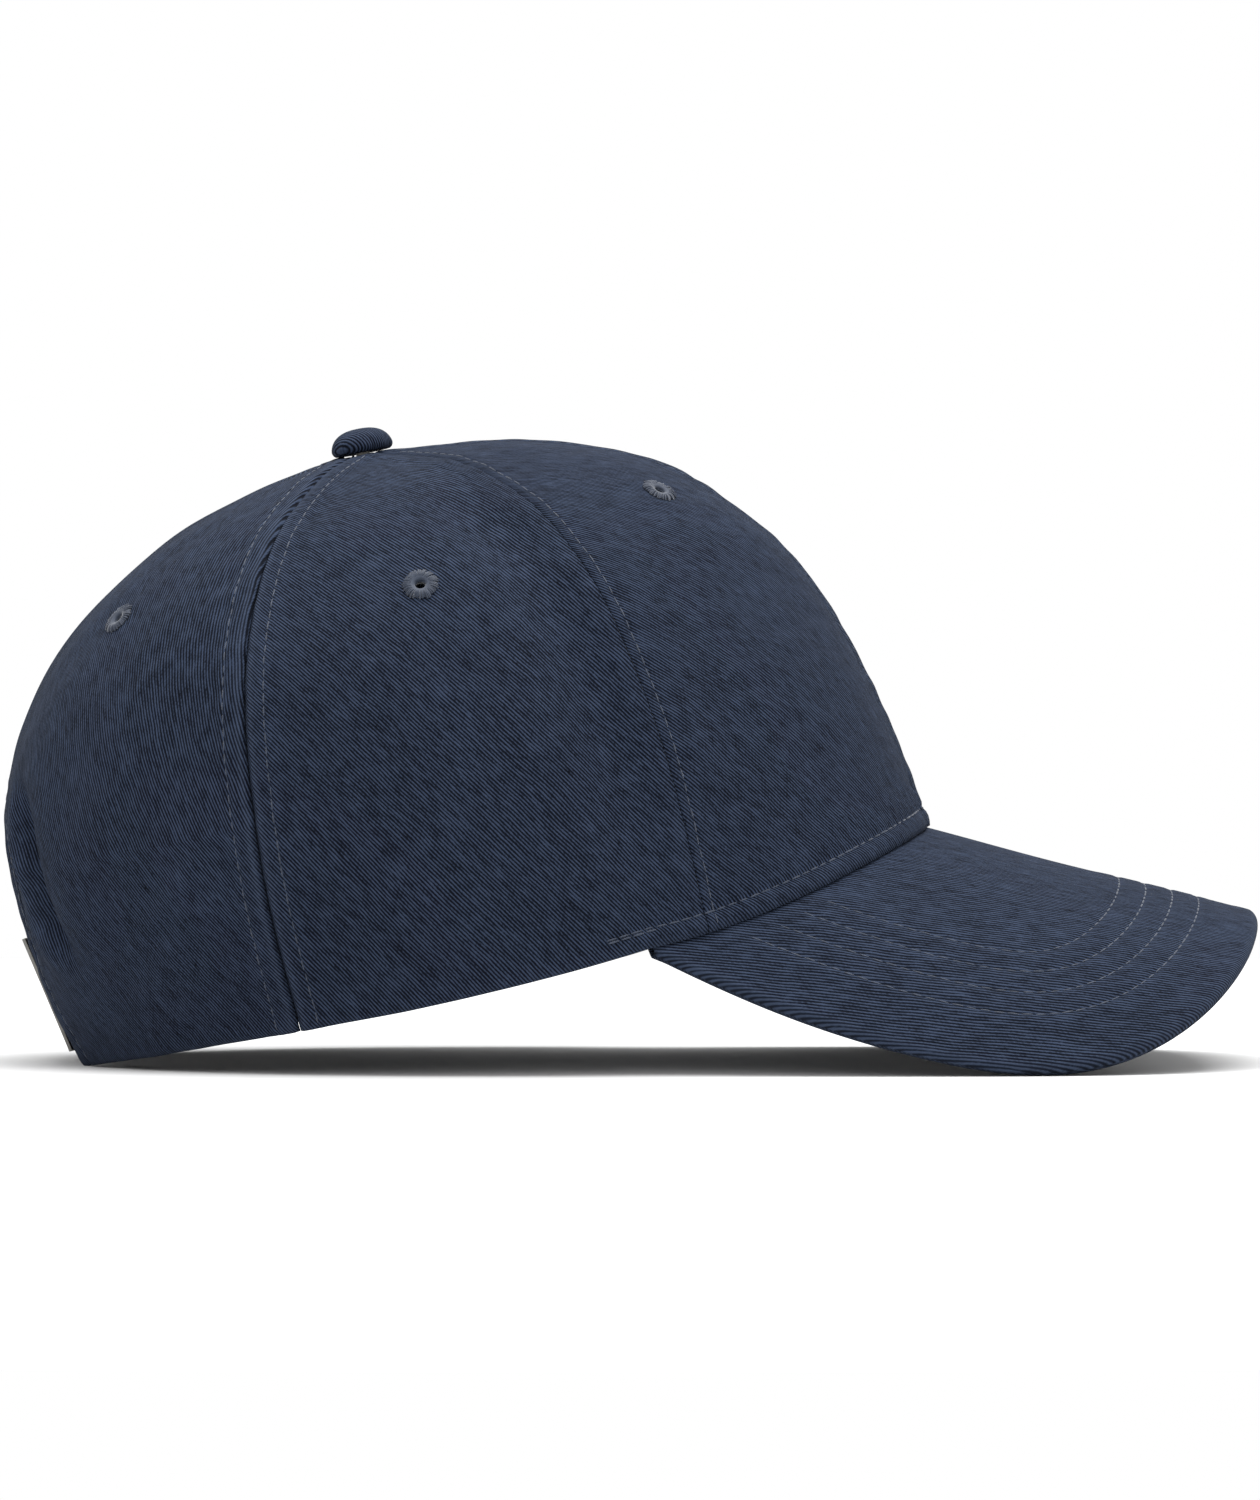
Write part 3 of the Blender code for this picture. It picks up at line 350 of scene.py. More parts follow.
def drift(x, y, size, seed):
    """Smooth unevenness between -1 and 1, the same each time, with swells of about this size."""
    draw = np.random.default_rng(seed)
    total = np.zeros(np.shape(x))
    for _ in range(7):
        angle, phase, stretch = draw.uniform(0, 2 * math.pi, 2).tolist() + [draw.uniform(0.7, 1.5)]
        way = x * math.cos(angle) + y * math.sin(angle)
        total = total + np.sin(way * 2 * math.pi / (size * stretch) + phase)
    return total / 4


def seam_distance(theta, q, seam):
    return (np.abs(theta) - seam) * metres_per_radian(theta, q)


def arch_distance(points):
    """Distance from the rear opening's edge, outwards over the panel, for points in the cap's frame."""
    aside, height = np.abs(points[..., 1]), np.maximum(points[..., 2], 0)
    radius = (aside / ARCH_HALF_WIDTH) ** ARCH_SQUARENESS + (height / ARCH_HEIGHT) ** ARCH_SQUARENESS
    size = radius ** (1 / ARCH_SQUARENESS)
    return (size - 1) * np.hypot(aside, height) / np.maximum(size, 1e-6)


def crown_relief(theta, q):
    """How far the sewn crown stands outside the smooth one."""
    theta, q = np.broadcast_arrays(np.asarray(theta, float), np.asarray(q, float))
    place = crown_skin(theta, q)
    u, v, w = place[..., 0], place[..., 1], place[..., 2]
    along = w + 0.35 * u
    relief = np.zeros(theta.shape)
    for seam, (ahead, behind) in SEAM_STITCH.items():
        away = seam_distance(theta, q, seam)
        if seam == 0.0:
            away = np.abs(away)
        distance = np.abs(away)
        stitch = np.where(away < 0, ahead, behind)
        strength = SEAM_STRENGTH[seam]
        relief += strength * 0.00050 * (1 - smooth(distance, stitch, stitch + ALLOWANCE_FALL))
        relief -= strength * 0.00100 * bell(distance, 0.00060)
        relief -= 0.00034 * math.sqrt(strength) * bell(distance - stitch, 0.00055)
        ripple = np.sin(along * 2 * math.pi / 0.0083 + 3 * np.sin(along * 90) + seam)
        relief += 0.00010 * ripple * bell(distance - stitch - 0.001, 0.0030)
    back = np.abs(seam_distance(theta, q, BACK_SEAM))
    allowance = 0.0004 * (1 - smooth(back, BACK_STITCH, BACK_STITCH + ALLOWANCE_FALL))
    groove = 0.00075 * bell(back, 0.00055) + 0.00028 * bell(back - BACK_STITCH, 0.00055)
    relief += smooth(w, ARCH_HEIGHT, ARCH_HEIGHT + 0.004) * (allowance - groove)

    behind_front = seam_distance(theta, q, FRONT_SEAM)
    valley = 0.0009 * bell(behind_front + 0.006, 0.008) - 0.0028 * bell(behind_front - 0.0115, 0.0085)
    relief += valley * smooth(w, 0.015, 0.050) * (1 - smooth(w, 0.095, 0.112))

    rim = arch_distance(place)
    at_back = smooth(np.abs(theta), math.radians(130), math.radians(142))
    beside_arch = at_back * smooth(w, 0.018, 0.032) * (1 - smooth(w, 0.052, 0.068))
    wander = 0.0012 * np.sin(w * 110 + 0.6)
    for centre, height, width in ARCH_FOLDS:
        relief += beside_arch * height * bell(rim - centre - wander, width)
    relief -= at_back * 0.00030 * bell(rim - ARCH_STITCH, 0.0006) * smooth(rim, 0, 0.001)
    folds = np.sin(rim / 0.0052 * 2 * math.pi + 14 * w / 0.06)
    relief += beside_arch * 0.00022 * folds * bell(rim - 0.010, 0.010)

    over_hem = w - hem_height(theta)
    in_front = 1 - smooth(np.abs(theta), BRIM_CORNER, BRIM_CORNER + math.radians(7))
    relief -= in_front * 0.00045 * bell(over_hem - JOIN_STITCH, 0.0006)
    relief += in_front * 0.00055 * bell(over_hem - 0.0018, 0.0019)
    relief += in_front * 0.00012 * np.sin(theta * 150) * bell(over_hem - 0.007, 0.005)
    relief += (1 - in_front) * 0.00035 * bell(over_hem - 0.0010, 0.0016)

    relief += 0.00045 * drift(u * 1.1, w + v, 0.045, 5)
    relief += 0.00014 * drift(u - w, w + v, 0.013, 8)
    return relief * smooth(1 - q, 0.0, 0.06)


def sewn_crown(theta, q, over=0.0):
    """World points on the sewn crown, or this far over it."""
    lift = crown_relief(theta, q) + over
    return to_world(crown_skin(theta, q) + crown_out(theta, q) * lift[..., None])


def crown_wear_and_highlight(theta, q):
    """Where washing has paled the cloth, on the raised edges beside the seams, the hem and the opening's
    edge, and a painted highlight on one fold ridge beside the opening.
    """
    place = crown_skin(theta, q)
    wear_and_highlight = np.zeros(np.shape(theta))
    for seam in (*SEAM_STITCH, BACK_SEAM):
        distance = np.abs(seam_distance(theta, q, seam))
        strength = SEAM_STRENGTH.get(seam, 1.0)
        wear_and_highlight += strength * (0.8 * bell(distance - 0.0014, 0.0009) - 0.9 * bell(distance, 0.0006))
        wear_and_highlight += strength * 0.25 * bell(distance - 0.0046, 0.0016)
    wear_and_highlight += 0.9 * bell(place[..., 2] - hem_height(theta), 0.0009)
    rim = arch_distance(place)
    at_back = np.abs(theta) > math.radians(138)
    wear_and_highlight += at_back * 0.8 * bell(rim, 0.0009)
    # Painted highlight: the ridge of the first fold beside the rear opening is paled so that it reads as lit.
    fold_highlight_band = smooth(place[..., 2], 0.020, 0.034) * (1 - smooth(place[..., 2], 0.050, 0.064))
    wear_and_highlight += at_back * fold_highlight_band * 0.5 * bell(rim - 0.0140, 0.0026)
    return np.clip(wear_and_highlight, -1, 1)


print("relief at the side seam's groove:", round(float(crown_relief(REAR_SEAM, 0.4)) * 1000, 2), "mm")

# %% [markdown]
# ## Six panels
# A panel is a grid between its two seams, standing on the hem and ending round the button's post. The rear
# panels end at the opening instead, so their rows run from the side seam to the opening's edge. Each panel
# gets a real hole where its eyelet goes.

# %% Panel grids
COLUMNS, ROWS = 96, 150
SEAM_GAP = 0.00004
EYELET_REACH, EYELET_HOLE = 0.0718, 0.0021


def even_meridian(theta, low, high, steps):
    fine = np.linspace(low, high, 240)
    lengths = run_lengths(crown_skin(theta, fine))
    return np.interp(np.linspace(0, lengths[-1], steps + 1), lengths, fine)


def climb(azimuths, low, top_radius, steps):
    """q of even rows up each meridian, from its own low end to one distance from the button's axis."""
    high = q_at_radius(azimuths, top_radius)
    columns = [even_meridian(*ends, steps) for ends in zip(azimuths, low, high, strict=True)]
    return np.stack(columns, axis=1)


def crowded_shares(count):
    """Shares from 0 to 1 that crowd towards both ends, where a panel has its seams."""
    even = np.linspace(0, 1, count + 1)
    return even - 0.55 * np.sin(2 * math.pi * even) / (2 * math.pi)


def panel_places(start, end):
    """(theta, q) grids of a front or side panel between two seams."""
    shares = crowded_shares(COLUMNS)
    azimuths = start + (end - start) * shares
    q = climb(azimuths, q_at_height(azimuths, hem_height(azimuths)), CROWN_HOLE, ROWS)
    return azimuths + SEAM_GAP * (1 - 2 * shares) / metres_per_radian(azimuths, q), q


def arch_places(turn, margin=0.0):
    """(theta, q) on the left leg of the rear opening: turn 0 at the hem and pi/2 at the top."""
    power = 2 / ARCH_SQUARENESS
    aside = (ARCH_HALF_WIDTH + margin) * np.maximum(np.cos(turn), 0) ** power
    height = (ARCH_HEIGHT + margin) * np.maximum(np.sin(turn), 0) ** power
    theta = math.pi - np.arcsin(aside / HEAD_HALF_WIDTH)
    for _ in range(14):
        reached = crown_skin(theta, q_at_height(theta, height))[..., 1]
        share = np.where(reached > 1e-7, aside * np.sin(theta) / np.maximum(reached, 1e-7), 0.0)
        theta = math.pi - np.arcsin(np.clip(share, 0, 1))
    return theta, q_at_height(theta, height)


def arch_top(margin=0.0):
    return arch_places(np.array([math.pi / 2]), margin)[1][0]


def whole_arch(turns, margin):
    """(theta, q) up the opening's left leg, over its top and down its right leg."""
    theta, q = arch_places(turns, margin)
    return np.concatenate([theta, 2 * math.pi - theta[-2::-1]]), np.concatenate([q, q[-2::-1]])


def sewing_line(theta, q, count):
    """(theta, q) pairs spread evenly by length along a line on the crown."""
    lengths = run_lengths(crown_skin(theta, q))
    at = np.linspace(0, lengths[-1], count)
    return np.interp(at, lengths, theta), np.interp(at, lengths, q)


def rear_panel_places():
    """(theta, q) grids of the left rear panel, and which of its cells lie in the opening.

    The opening's leg bounds the lower rows and its top bounds the columns over it, so the grid is a
    rectangle with a notch."""
    leg_rows, side_columns = 45, 76
    arch_theta, arch_q = arch_places(np.linspace(0, math.pi / 2, 181))
    corner = len(arch_theta) // 2
    leg_theta, leg_q = sewing_line(arch_theta[:corner + 1], arch_q[:corner + 1], leg_rows + 1)
    edge = np.concatenate([leg_theta, np.full(ROWS - leg_rows, arch_theta[corner])])[:, None]
    theta = np.concatenate([
        REAR_SEAM + (edge - REAR_SEAM) * crowded_shares(side_columns),
        edge + (math.pi - edge) * crowded_shares(COLUMNS - side_columns)[1:],
    ], axis=1)
    foot = q_at_height(theta[0], hem_height(theta[0]))
    bend = q_at_height(theta[-1], crown_skin(arch_theta[corner], arch_q[corner])[2])
    bend[side_columns + 1:] = np.interp(theta[-1, side_columns + 1:], arch_theta, arch_q)
    q = np.empty(theta.shape)
    q[:leg_rows + 1] = foot + (bend - foot) * np.linspace(0, 1, leg_rows + 1)[:, None]
    q[1:leg_rows + 1, side_columns] = leg_q[1:]
    q[leg_rows:] = climb(theta[-1], bend, CROWN_HOLE, ROWS - leg_rows)
    for column, gap in ((0, SEAM_GAP), (-1, -SEAM_GAP)):
        theta[:, column] += gap / metres_per_radian(theta[:, column], q[:, column])
    absent = np.zeros((ROWS, COLUMNS), bool)
    absent[:leg_rows, side_columns:] = True
    return theta, q, absent


def eyelet_centre(azimuth):
    """(theta, q) of the eyelet on a meridian, a fixed reach straight down from the button."""
    button = np.array([-BUTTON_BACK, 0.0, CROWN_HEIGHT])
    nearness = lambda q: -np.linalg.norm(crown_skin(azimuth, q) - button, axis=-1)
    return azimuth, float(find_rising(nearness, np.array(-EYELET_REACH), 0.2, 0.99))


EYELETS = {
    "front": FRONT_SEAM / 2,
    "side": (FRONT_SEAM + REAR_SEAM) / 2,
    "rear": (REAR_SEAM + math.pi) / 2,
}


SIDES = ((1, "left"), (-1, "right"))


def sewn_panel(name, theta, q, absent, side, place):
    """Left panels come from the grid as it is, right panels from its mirror image."""
    theta, q, absent = theta[:, ::side] * side, q[:, ::side], absent[:, ::side]
    hole = sewn_crown(*eyelet_centre(EYELETS[place] * side))
    through = lambda middles: (np.linalg.norm(middles - hole, axis=1) < EYELET_HOLE) | absent.ravel()
    panel = grid_object(name, sewn_crown(theta, q), worn_and_highlight=crown_wear_and_highlight(theta, q), cut=through)
    return thicken(panel, PANEL_CLOTH)


panels = {}
whole = np.zeros((ROWS, COLUMNS), bool)
grids = {
    "front": (*panel_places(0.0, FRONT_SEAM), whole),
    "side": (*panel_places(FRONT_SEAM, REAR_SEAM), whole),
    "rear": rear_panel_places(),
}
for place, grid in grids.items():
    for side, word in SIDES:
        node = f"{place}_panel_{word}"
        panels[node] = sewn_panel(f"{node}_cloth", *grid, side, place)
print("panels:", {name: len(panel.data.polygons) for name, panel in panels.items()})

# %% [markdown]
# ## The brim's two covers
# The covers meet half-way round the edge. Four rows of stitches pull the cloth down to the board, so it
# quilts a little between them. How far a place is from the outline decides all of that, on the flat
# pattern, and the pattern is bent afterwards.

# %% Brim covers
BRIM_CLOTH = 0.0007
BRIM_ROW_INSETS = [0.0138 + 0.0060 * k for k in range(4)]
OUTLINE = brim_outline(1400)
OUTLINE_ALONG = np.linspace(0, edge_length, len(OUTLINE))


def from_outline(pattern):
    """Distance to the brim's outline and the place along it, for points of the flat pattern."""
    flat = pattern.reshape(-1, 2)
    nearest, spot = np.empty(len(flat)), np.empty(len(flat))
    for start in range(0, len(flat), 4000):
        part = flat[start:start + 4000]
        square = ((part[:, None] - OUTLINE[None]) ** 2).sum(axis=2)
        found = square.argmin(axis=1)
        nearest[start:start + 4000] = np.sqrt(square[np.arange(len(part)), found])
        spot[start:start + 4000] = OUTLINE_ALONG[found]
    return nearest.reshape(pattern.shape[:-1]), spot.reshape(pattern.shape[:-1])


def from_crown(pattern):
    """Distance from the crown's join, over the brim."""
    place = brim(pattern[..., 0], pattern[..., 1])
    size = np.hypot(place[..., 0] / HEAD_HALF_LENGTH, place[..., 1] / HEAD_HALF_WIDTH)
    return (size - 1) * np.hypot(place[..., 0], place[..., 1]) / size


def brim_relief(pattern):
    inset, along = from_outline(pattern)
    relief = 0.00012 * (1 - smooth(inset, 0.0035, 0.0060)) * smooth(inset, 0.0005, 0.002)
    reach = smooth(from_crown(pattern), 0.001, 0.003)
    for row in BRIM_ROW_INSETS:
        relief -= reach * 0.00030 * bell(inset - row, 0.00075)
        relief += reach * 0.00006 * np.sin(along * 2 * math.pi / 0.0060) * bell(inset - row, 0.0022)
    relief += reach * 0.00014 * smooth(inset, 0.010, 0.014) * (1 - smooth(inset, 0.034, 0.038))
    relief += 0.00022 * drift(pattern[..., 0], pattern[..., 1], 0.050, 3)
    return relief


def brim_cover(name, columns, rows, from_top):
    outline = brim_outline(columns)
    azimuth = np.linspace(-BRIM_CORNER, BRIM_CORNER, columns)
    root = brim_pattern(*head_edge(azimuth, BRIM_TUCK))
    length = np.linalg.norm(root - outline, axis=1)
    inward = (root - outline) / length[:, None]
    rounding = np.minimum(BRIM_ROUND, length / 3)
    inset, depth = [np.zeros(columns)], [np.full(columns, BRIM_THICKNESS / 2 - 0.00006)]
    for angle in np.radians(np.linspace(90, 0, 9)):
        inset.append(rounding * (1 - math.sin(angle)))
        depth.append(rounding * (1 - math.cos(angle)))
    for share in np.linspace(0, 1, rows + 1)[1:]:
        inset.append(rounding + (length - rounding) * share)
        depth.append(np.zeros(columns))
    inset, depth = np.array(inset), np.array(depth)
    pattern = outline[None] + inward[None] * inset[..., None]
    relief = brim_relief(pattern) * (1 - depth / BRIM_THICKNESS * 2)
    level = depth - relief if from_top else BRIM_THICKNESS - depth + relief
    points = to_world(brim(pattern[..., 0], pattern[..., 1], level))
    near_edge, _ = from_outline(pattern)
    worn_and_highlight = 0.8 * bell(near_edge - 0.0006, 0.0011)
    for row in BRIM_ROW_INSETS:
        worn_and_highlight = worn_and_highlight + 0.35 * bell(near_edge - row, 0.0014)
    uv = np.stack([-pattern[..., 1], pattern[..., 0] + depth], axis=-1)
    way = 1 if from_top else -1
    return thicken(grid_object(name, points[:, ::way], uv[:, ::way], worn_and_highlight[:, ::way]), BRIM_CLOTH)


brim_top = brim_cover("brim_top_cloth", 300, 120, True)
brim_under = brim_cover("brim_under_cloth", 240, 80, False)
print("brim covers:", len(brim_top.data.polygons), "and", len(brim_under.data.polygons), "faces")

# %% [markdown]
# ## Inside the crown
# Stiff open-weave linings back the front panels, a tape covers each seam, a facing backs the rear opening,
# and the sweatband runs round the hem over a soft pad. These layers lie at growing depths inside the same
# surface, so each is one grid at its own depth.

# %% Layers inside
LINING_DEPTH, LINING_CLOTH = 0.0014, 0.0006
TAPE_DEPTH, TAPE_CLOTH, TAPE_WIDTH = 0.0026, 0.0005, 0.014
PADDING_DEPTH, PADDING_THICKNESS = 0.0037, 0.0014
BAND_DEPTH, BAND_CLOTH, BAND_HEIGHT = 0.0057, 0.0009, 0.032
LABEL_DEPTH, LABEL_CLOTH = 0.0069, 0.0003
FACING_WIDTH, FACING_CLOTH = 0.009, 0.0005
LINING_TOP, TAPE_TOP = 0.0075, 0.0083  # distances from the button's axis


def inside_crown(theta, q, depth):
    return to_world(crown_skin(theta, q) - crown_out(theta, q) * np.asarray(depth)[..., None])


def front_lining(name, side):
    azimuths = np.linspace(0.004, FRONT_SEAM - 0.004, 49)
    q = climb(azimuths, q_at_height(azimuths, hem_height(azimuths, LINING_DEPTH) + 0.0045), LINING_TOP, 80)
    theta, q = np.broadcast_to(azimuths, q.shape)[:, ::side] * side, q[:, ::side]
    hole = inside_crown(*eyelet_centre(EYELETS["front"] * side), LINING_DEPTH)
    through = lambda middles: np.linalg.norm(middles - hole, axis=1) < 0.0024
    return thicken(grid_object(name, inside_crown(theta, q, LINING_DEPTH), cut=through), LINING_CLOTH * 0.8)


def seam_tape(name, seam, side):
    """A tape with a crease down its middle, where the seam lies under it."""
    low = q_at_height(seam, hem_height(seam) + 0.004)
    if seam == BACK_SEAM:
        low = arch_top(FACING_WIDTH + 0.0004)
    stop = max(TAPE_TOP, 1.15 * TAPE_WIDTH / 2 / math.sin(FRONT_SEAM / 2))
    q = even_meridian(seam, low, q_at_radius(seam, stop), 110)[:, None] * np.ones((1, 13))
    shares = np.linspace(-1, 1, 13)[None]
    theta = seam * side + shares * TAPE_WIDTH / 2 / metres_per_radian(seam, q)
    rise = 0.00010 * np.cos(shares * math.pi * 1.5) + 0.00004 * np.sin(q * 190)
    return thicken(grid_object(name, inside_crown(theta, q, TAPE_DEPTH - rise)), TAPE_CLOTH * 0.9)


def band_ease(azimuths):
    """How much deeper the sweatband lies behind, clear of the strap's ends."""
    return smooth(np.degrees(np.abs(azimuths)), 108.0, 128.0) * 0.0020


def band_waves(azimuths):
    return 0.00022 * drift(azimuths * 0.085, 0 * azimuths, 0.021, 12)


def band_foot(azimuths):
    covering = 1 - smooth(np.degrees(np.abs(azimuths)), 50.0, 66.0)
    return hem_height(azimuths) + 0.0005 - (BRIM_THICKNESS + 0.0005) * covering


def band_layer(name, azimuths, depth, foot, head, rows):
    """A layer round the head, from a low line to a high one."""
    heights = foot + (head - foot) * np.linspace(0, 1, rows + 1)[:, None]
    q = q_at_height(azimuths, heights)
    theta = np.broadcast_to(azimuths, q.shape)
    return grid_object(name, inside_crown(theta, q, depth + band_ease(theta)))


band_end = float(arch_places(np.array([0.0]))[0][0]) - 0.004
azimuths = np.linspace(-band_end, band_end, 361)
sweatband = band_layer("sweatband_cloth", azimuths, BAND_DEPTH + band_waves(azimuths), band_foot(azimuths),
                       hem_height(azimuths) + BAND_HEIGHT, 30)
thicken(sweatband, BAND_CLOTH)

azimuths = np.linspace(-math.radians(60), math.radians(60), 161)
padding = band_layer("sweatband_pad", azimuths, PADDING_DEPTH, hem_height(azimuths) + 0.003,
                     hem_height(azimuths) + BAND_HEIGHT - 0.003, 14)
thicken(padding, PADDING_THICKNESS, rim=0.0004)

label_middle = math.radians(104.0)
label_half = 0.010 / float(metres_per_radian(label_middle, 0.1))
azimuths = np.linspace(label_middle - label_half, label_middle + label_half, 25)
label_curl = 0.0001 * np.sin(azimuths * 120)
label = band_layer("blank_label", azimuths, LABEL_DEPTH + label_curl, 0.004, 0.028, 24)
thicken(label, LABEL_CLOTH)

facing_turns, facing_margins = np.linspace(0, math.pi / 2, 61), np.linspace(0.0004, FACING_WIDTH, 9)
facing_rows = [inside_crown(*whole_arch(facing_turns, margin), LINING_DEPTH) for margin in facing_margins]
facing = thicken(grid_object("arch_facing_cloth", np.stack(facing_rows)), FACING_CLOTH * 0.9)

linings = {word: front_lining(f"front_lining_{word}_cloth", side) for side, word in SIDES}
TAPES = {
    "seam_tape_front": (0.0, 1), "seam_tape_back": (BACK_SEAM, 1),
    "seam_tape_front_left": (FRONT_SEAM, 1), "seam_tape_front_right": (FRONT_SEAM, -1),
    "seam_tape_rear_left": (REAR_SEAM, 1), "seam_tape_rear_right": (REAR_SEAM, -1),
}
tapes = {node: seam_tape(f"{node}_cloth", seam, side) for node, (seam, side) in TAPES.items()}
print("inside layers:", len(tapes) + len(linings) + 4)

# %% [markdown]
# ## Strap, loop and button
# The strap is folded cloth, so its section is a flat oval, swept round the same upright axis that its joint
# turns about. The button is a disc of cloth gathered over a steel shell: a turned dome, whose rim takes
# small pleats.

# %% Strap and button
STRAP_RADIUS = HEAD_HALF_WIDTH**2 / HEAD_HALF_LENGTH
STRAP_WIDTH, STRAP_CLOTH = 0.0270, 0.0013
STRAP_DEPTH, STRAP_FOOT = 0.0035, 0.0030
CLASP_CLEARANCE, LOOP_CLOTH = 0.0004, 0.0010
STRAP_END, CLASP_END, LOOP_END = 40.0, 17.6, 41.0  # degrees round the strap's axis


def strap_axis():
    ends = crown_skin(math.pi, q_at_height(math.pi, np.array([STRAP_FOOT, STRAP_FOOT + STRAP_WIDTH])))
    lean = math.atan2(ends[0, 0] - ends[1, 0], ends[1, 2] - ends[0, 2])
    middle = STRAP_FOOT + STRAP_WIDTH / 2
    outside = crown_skin(math.pi, q_at_height(math.pi, middle))[0] + STRAP_DEPTH / math.cos(lean)
    return float(outside) + STRAP_RADIUS, middle, lean


def round_strap(along, up, depth):
    """Points by the strap: angle to the left, distance up its width, depth below its outer face."""
    axis_u, middle, lean = strap_axis()
    radius = STRAP_RADIUS + up * math.sin(lean) - depth * math.cos(lean)
    height = middle + up * math.cos(lean) + depth * math.sin(lean) + 0 * along
    return np.stack([axis_u - radius * np.cos(along), radius * np.sin(along), height], axis=-1)


def folded_strip(name, start, end, outer, thickness, width, seed):
    """A strip with a flat oval section, closed at its two ends."""
    squash = lambda wave: np.sign(wave) * np.abs(wave) ** 0.28
    around, along = np.linspace(0, 2 * math.pi, 41)[:, None], np.radians(np.linspace(start, end, 111))
    around, along = np.broadcast_arrays(around, along)
    up = squash(np.cos(around)) * width / 2
    from_edge = np.abs(up) - width / 2
    hollow = 0.00018 * bell(from_edge + 0.0026, 0.0006)
    through = squash(np.sin(around)) * thickness / 2 * (1 - hollow / thickness * 2)
    wave = 0.00004 * drift(along * STRAP_RADIUS, up, 0.016, seed)
    grid = to_world(round_strap(along, up, outer + thickness / 2 + through + wave))
    uv = np.stack([along * STRAP_RADIUS, up], axis=-1)
    return close_ends(grid_object(name, grid, uv, worn_and_highlight=0.9 * bell(from_edge, 0.0012)))


def close_ends(piece):
    """Merges the grid's seam and poles, and fills what is left open."""
    work = bmesh.new()
    work.from_mesh(piece.data)
    bmesh.ops.remove_doubles(work, verts=work.verts, dist=1e-6)
    rims = [edge for edge in work.edges if edge.is_boundary]
    if rims:
        bmesh.ops.holes_fill(work, edges=rims, sides=0)
    bmesh.ops.recalc_face_normals(work, faces=work.faces)
    work.to_mesh(piece.data)
    work.free()
    piece.data.shade_smooth()
    return piece


strap = folded_strip("strap_cloth", -STRAP_END, STRAP_END, 0.0, STRAP_CLOTH, STRAP_WIDTH, 21)
loop_start = CLASP_END + math.degrees(0.0003 / STRAP_RADIUS)
loop_outer = STRAP_CLOTH + CLASP_CLEARANCE
loop = folded_strip("clasp_loop_cloth", loop_start, LOOP_END, loop_outer, LOOP_CLOTH, STRAP_WIDTH, 22)

BUTTON_RADIUS, BUTTON_HEIGHT = 0.0069, 0.0058
button_rows = [(0.62, 0.0004), (0.80, 0.00035), (0.90, 0.0004), (0.955, 0.0007), (0.985, 0.0011)]
for angle in np.linspace(0, math.pi / 2, 19):
    wide = max(math.cos(angle), 0.0) ** 0.78
    button_rows.append((wide, 0.0015 + (BUTTON_HEIGHT - 0.0015) * math.sin(angle)))
button_rows = np.array(button_rows)
spin = np.linspace(0, 2 * math.pi, 97)
share, level = button_rows[:, :1], button_rows[:, 1:]
pleats = 0.00014 * np.sin(spin * 13 + 1.2 * np.sin(spin * 3)) * bell(level - 0.0016, 0.0013)
radius = BUTTON_RADIUS * share * 0.985 + pleats * (share > 0.5)
button_uv = np.stack([share * BUTTON_RADIUS * np.cos(spin), share * BUTTON_RADIUS * np.sin(spin)], axis=-1)
button_uv = button_uv * (1 + 0.25 * (1 - level[..., None] / BUTTON_HEIGHT))
button_points = np.stack([
    radius * np.cos(spin) - BUTTON_BACK, radius * np.sin(spin), level + CROWN_HEIGHT + 0 * spin,
], axis=-1)
button = close_ends(grid_object("button_cloth", to_world(button_points), button_uv,
                                worn_and_highlight=0.5 * bell(level - 0.0045, 0.0012) + 0 * spin))
print("strap, loop and button made")

# %% [markdown]
# ## Writing a material as Python
# A material is a tree of nodes, and most of a weave is arithmetic. The small class below wraps one output
# socket and overloads the operators, so that an expression such as 1 - rib * 0.3 adds its Math nodes by
# itself. Every other node comes from one method, which takes its type, settings and sockets. Geometry trees
# further on grow in the same way.

# %% Shader helpers
class Wire:
    """One output socket, usable in Python arithmetic."""

    def __init__(self, tree, socket):
        self.tree, self.socket = tree, socket

    def maths(self, operation, *others):
        return self.tree.node("ShaderNodeMath", {"operation": operation}, dict(enumerate((self, *others))))

    def __add__(self, other):
        return self.maths("ADD", other)

    def __sub__(self, other):
        return self.maths("SUBTRACT", other)

    def __rsub__(self, other):
        return self.tree.node("ShaderNodeMath", {"operation": "SUBTRACT"}, {0: other, 1: self})

    def __mul__(self, other):
        return self.maths("MULTIPLY", other)

    def __truediv__(self, other):
        return self.maths("DIVIDE", other)

    __radd__ = __add__

    def wave(self):
        """A sine wave from 0 to 1 that repeats each time this value grows by 1."""
        return (self * (2 * math.pi)).maths("SINE") * 0.5 + 0.5

    def limited(self):
        return self.tree.node("ShaderNodeClamp", {}, {"Value": self})


class Tree:
    """A node tree that grows by one call for each node."""

    def __init__(self, tree):
        self.tree = tree

    def node(self, kind, settings, sockets, output=0):
        made = self.tree.nodes.new(kind)
        for name, value in settings.items():
            setattr(made, name, value)
        self.connect(made, sockets)
        return Wire(self, made.outputs[output])

    def connect(self, made, sockets):
        for key, value in sockets.items():
            if isinstance(value, Wire):
                self.tree.links.new(value.socket, made.inputs[key])
            else:
                made.inputs[key].default_value = value

    def vector(self, x, y, z=0.0):
        return self.node("ShaderNodeCombineXYZ", {}, {0: x, 1: y, 2: z})


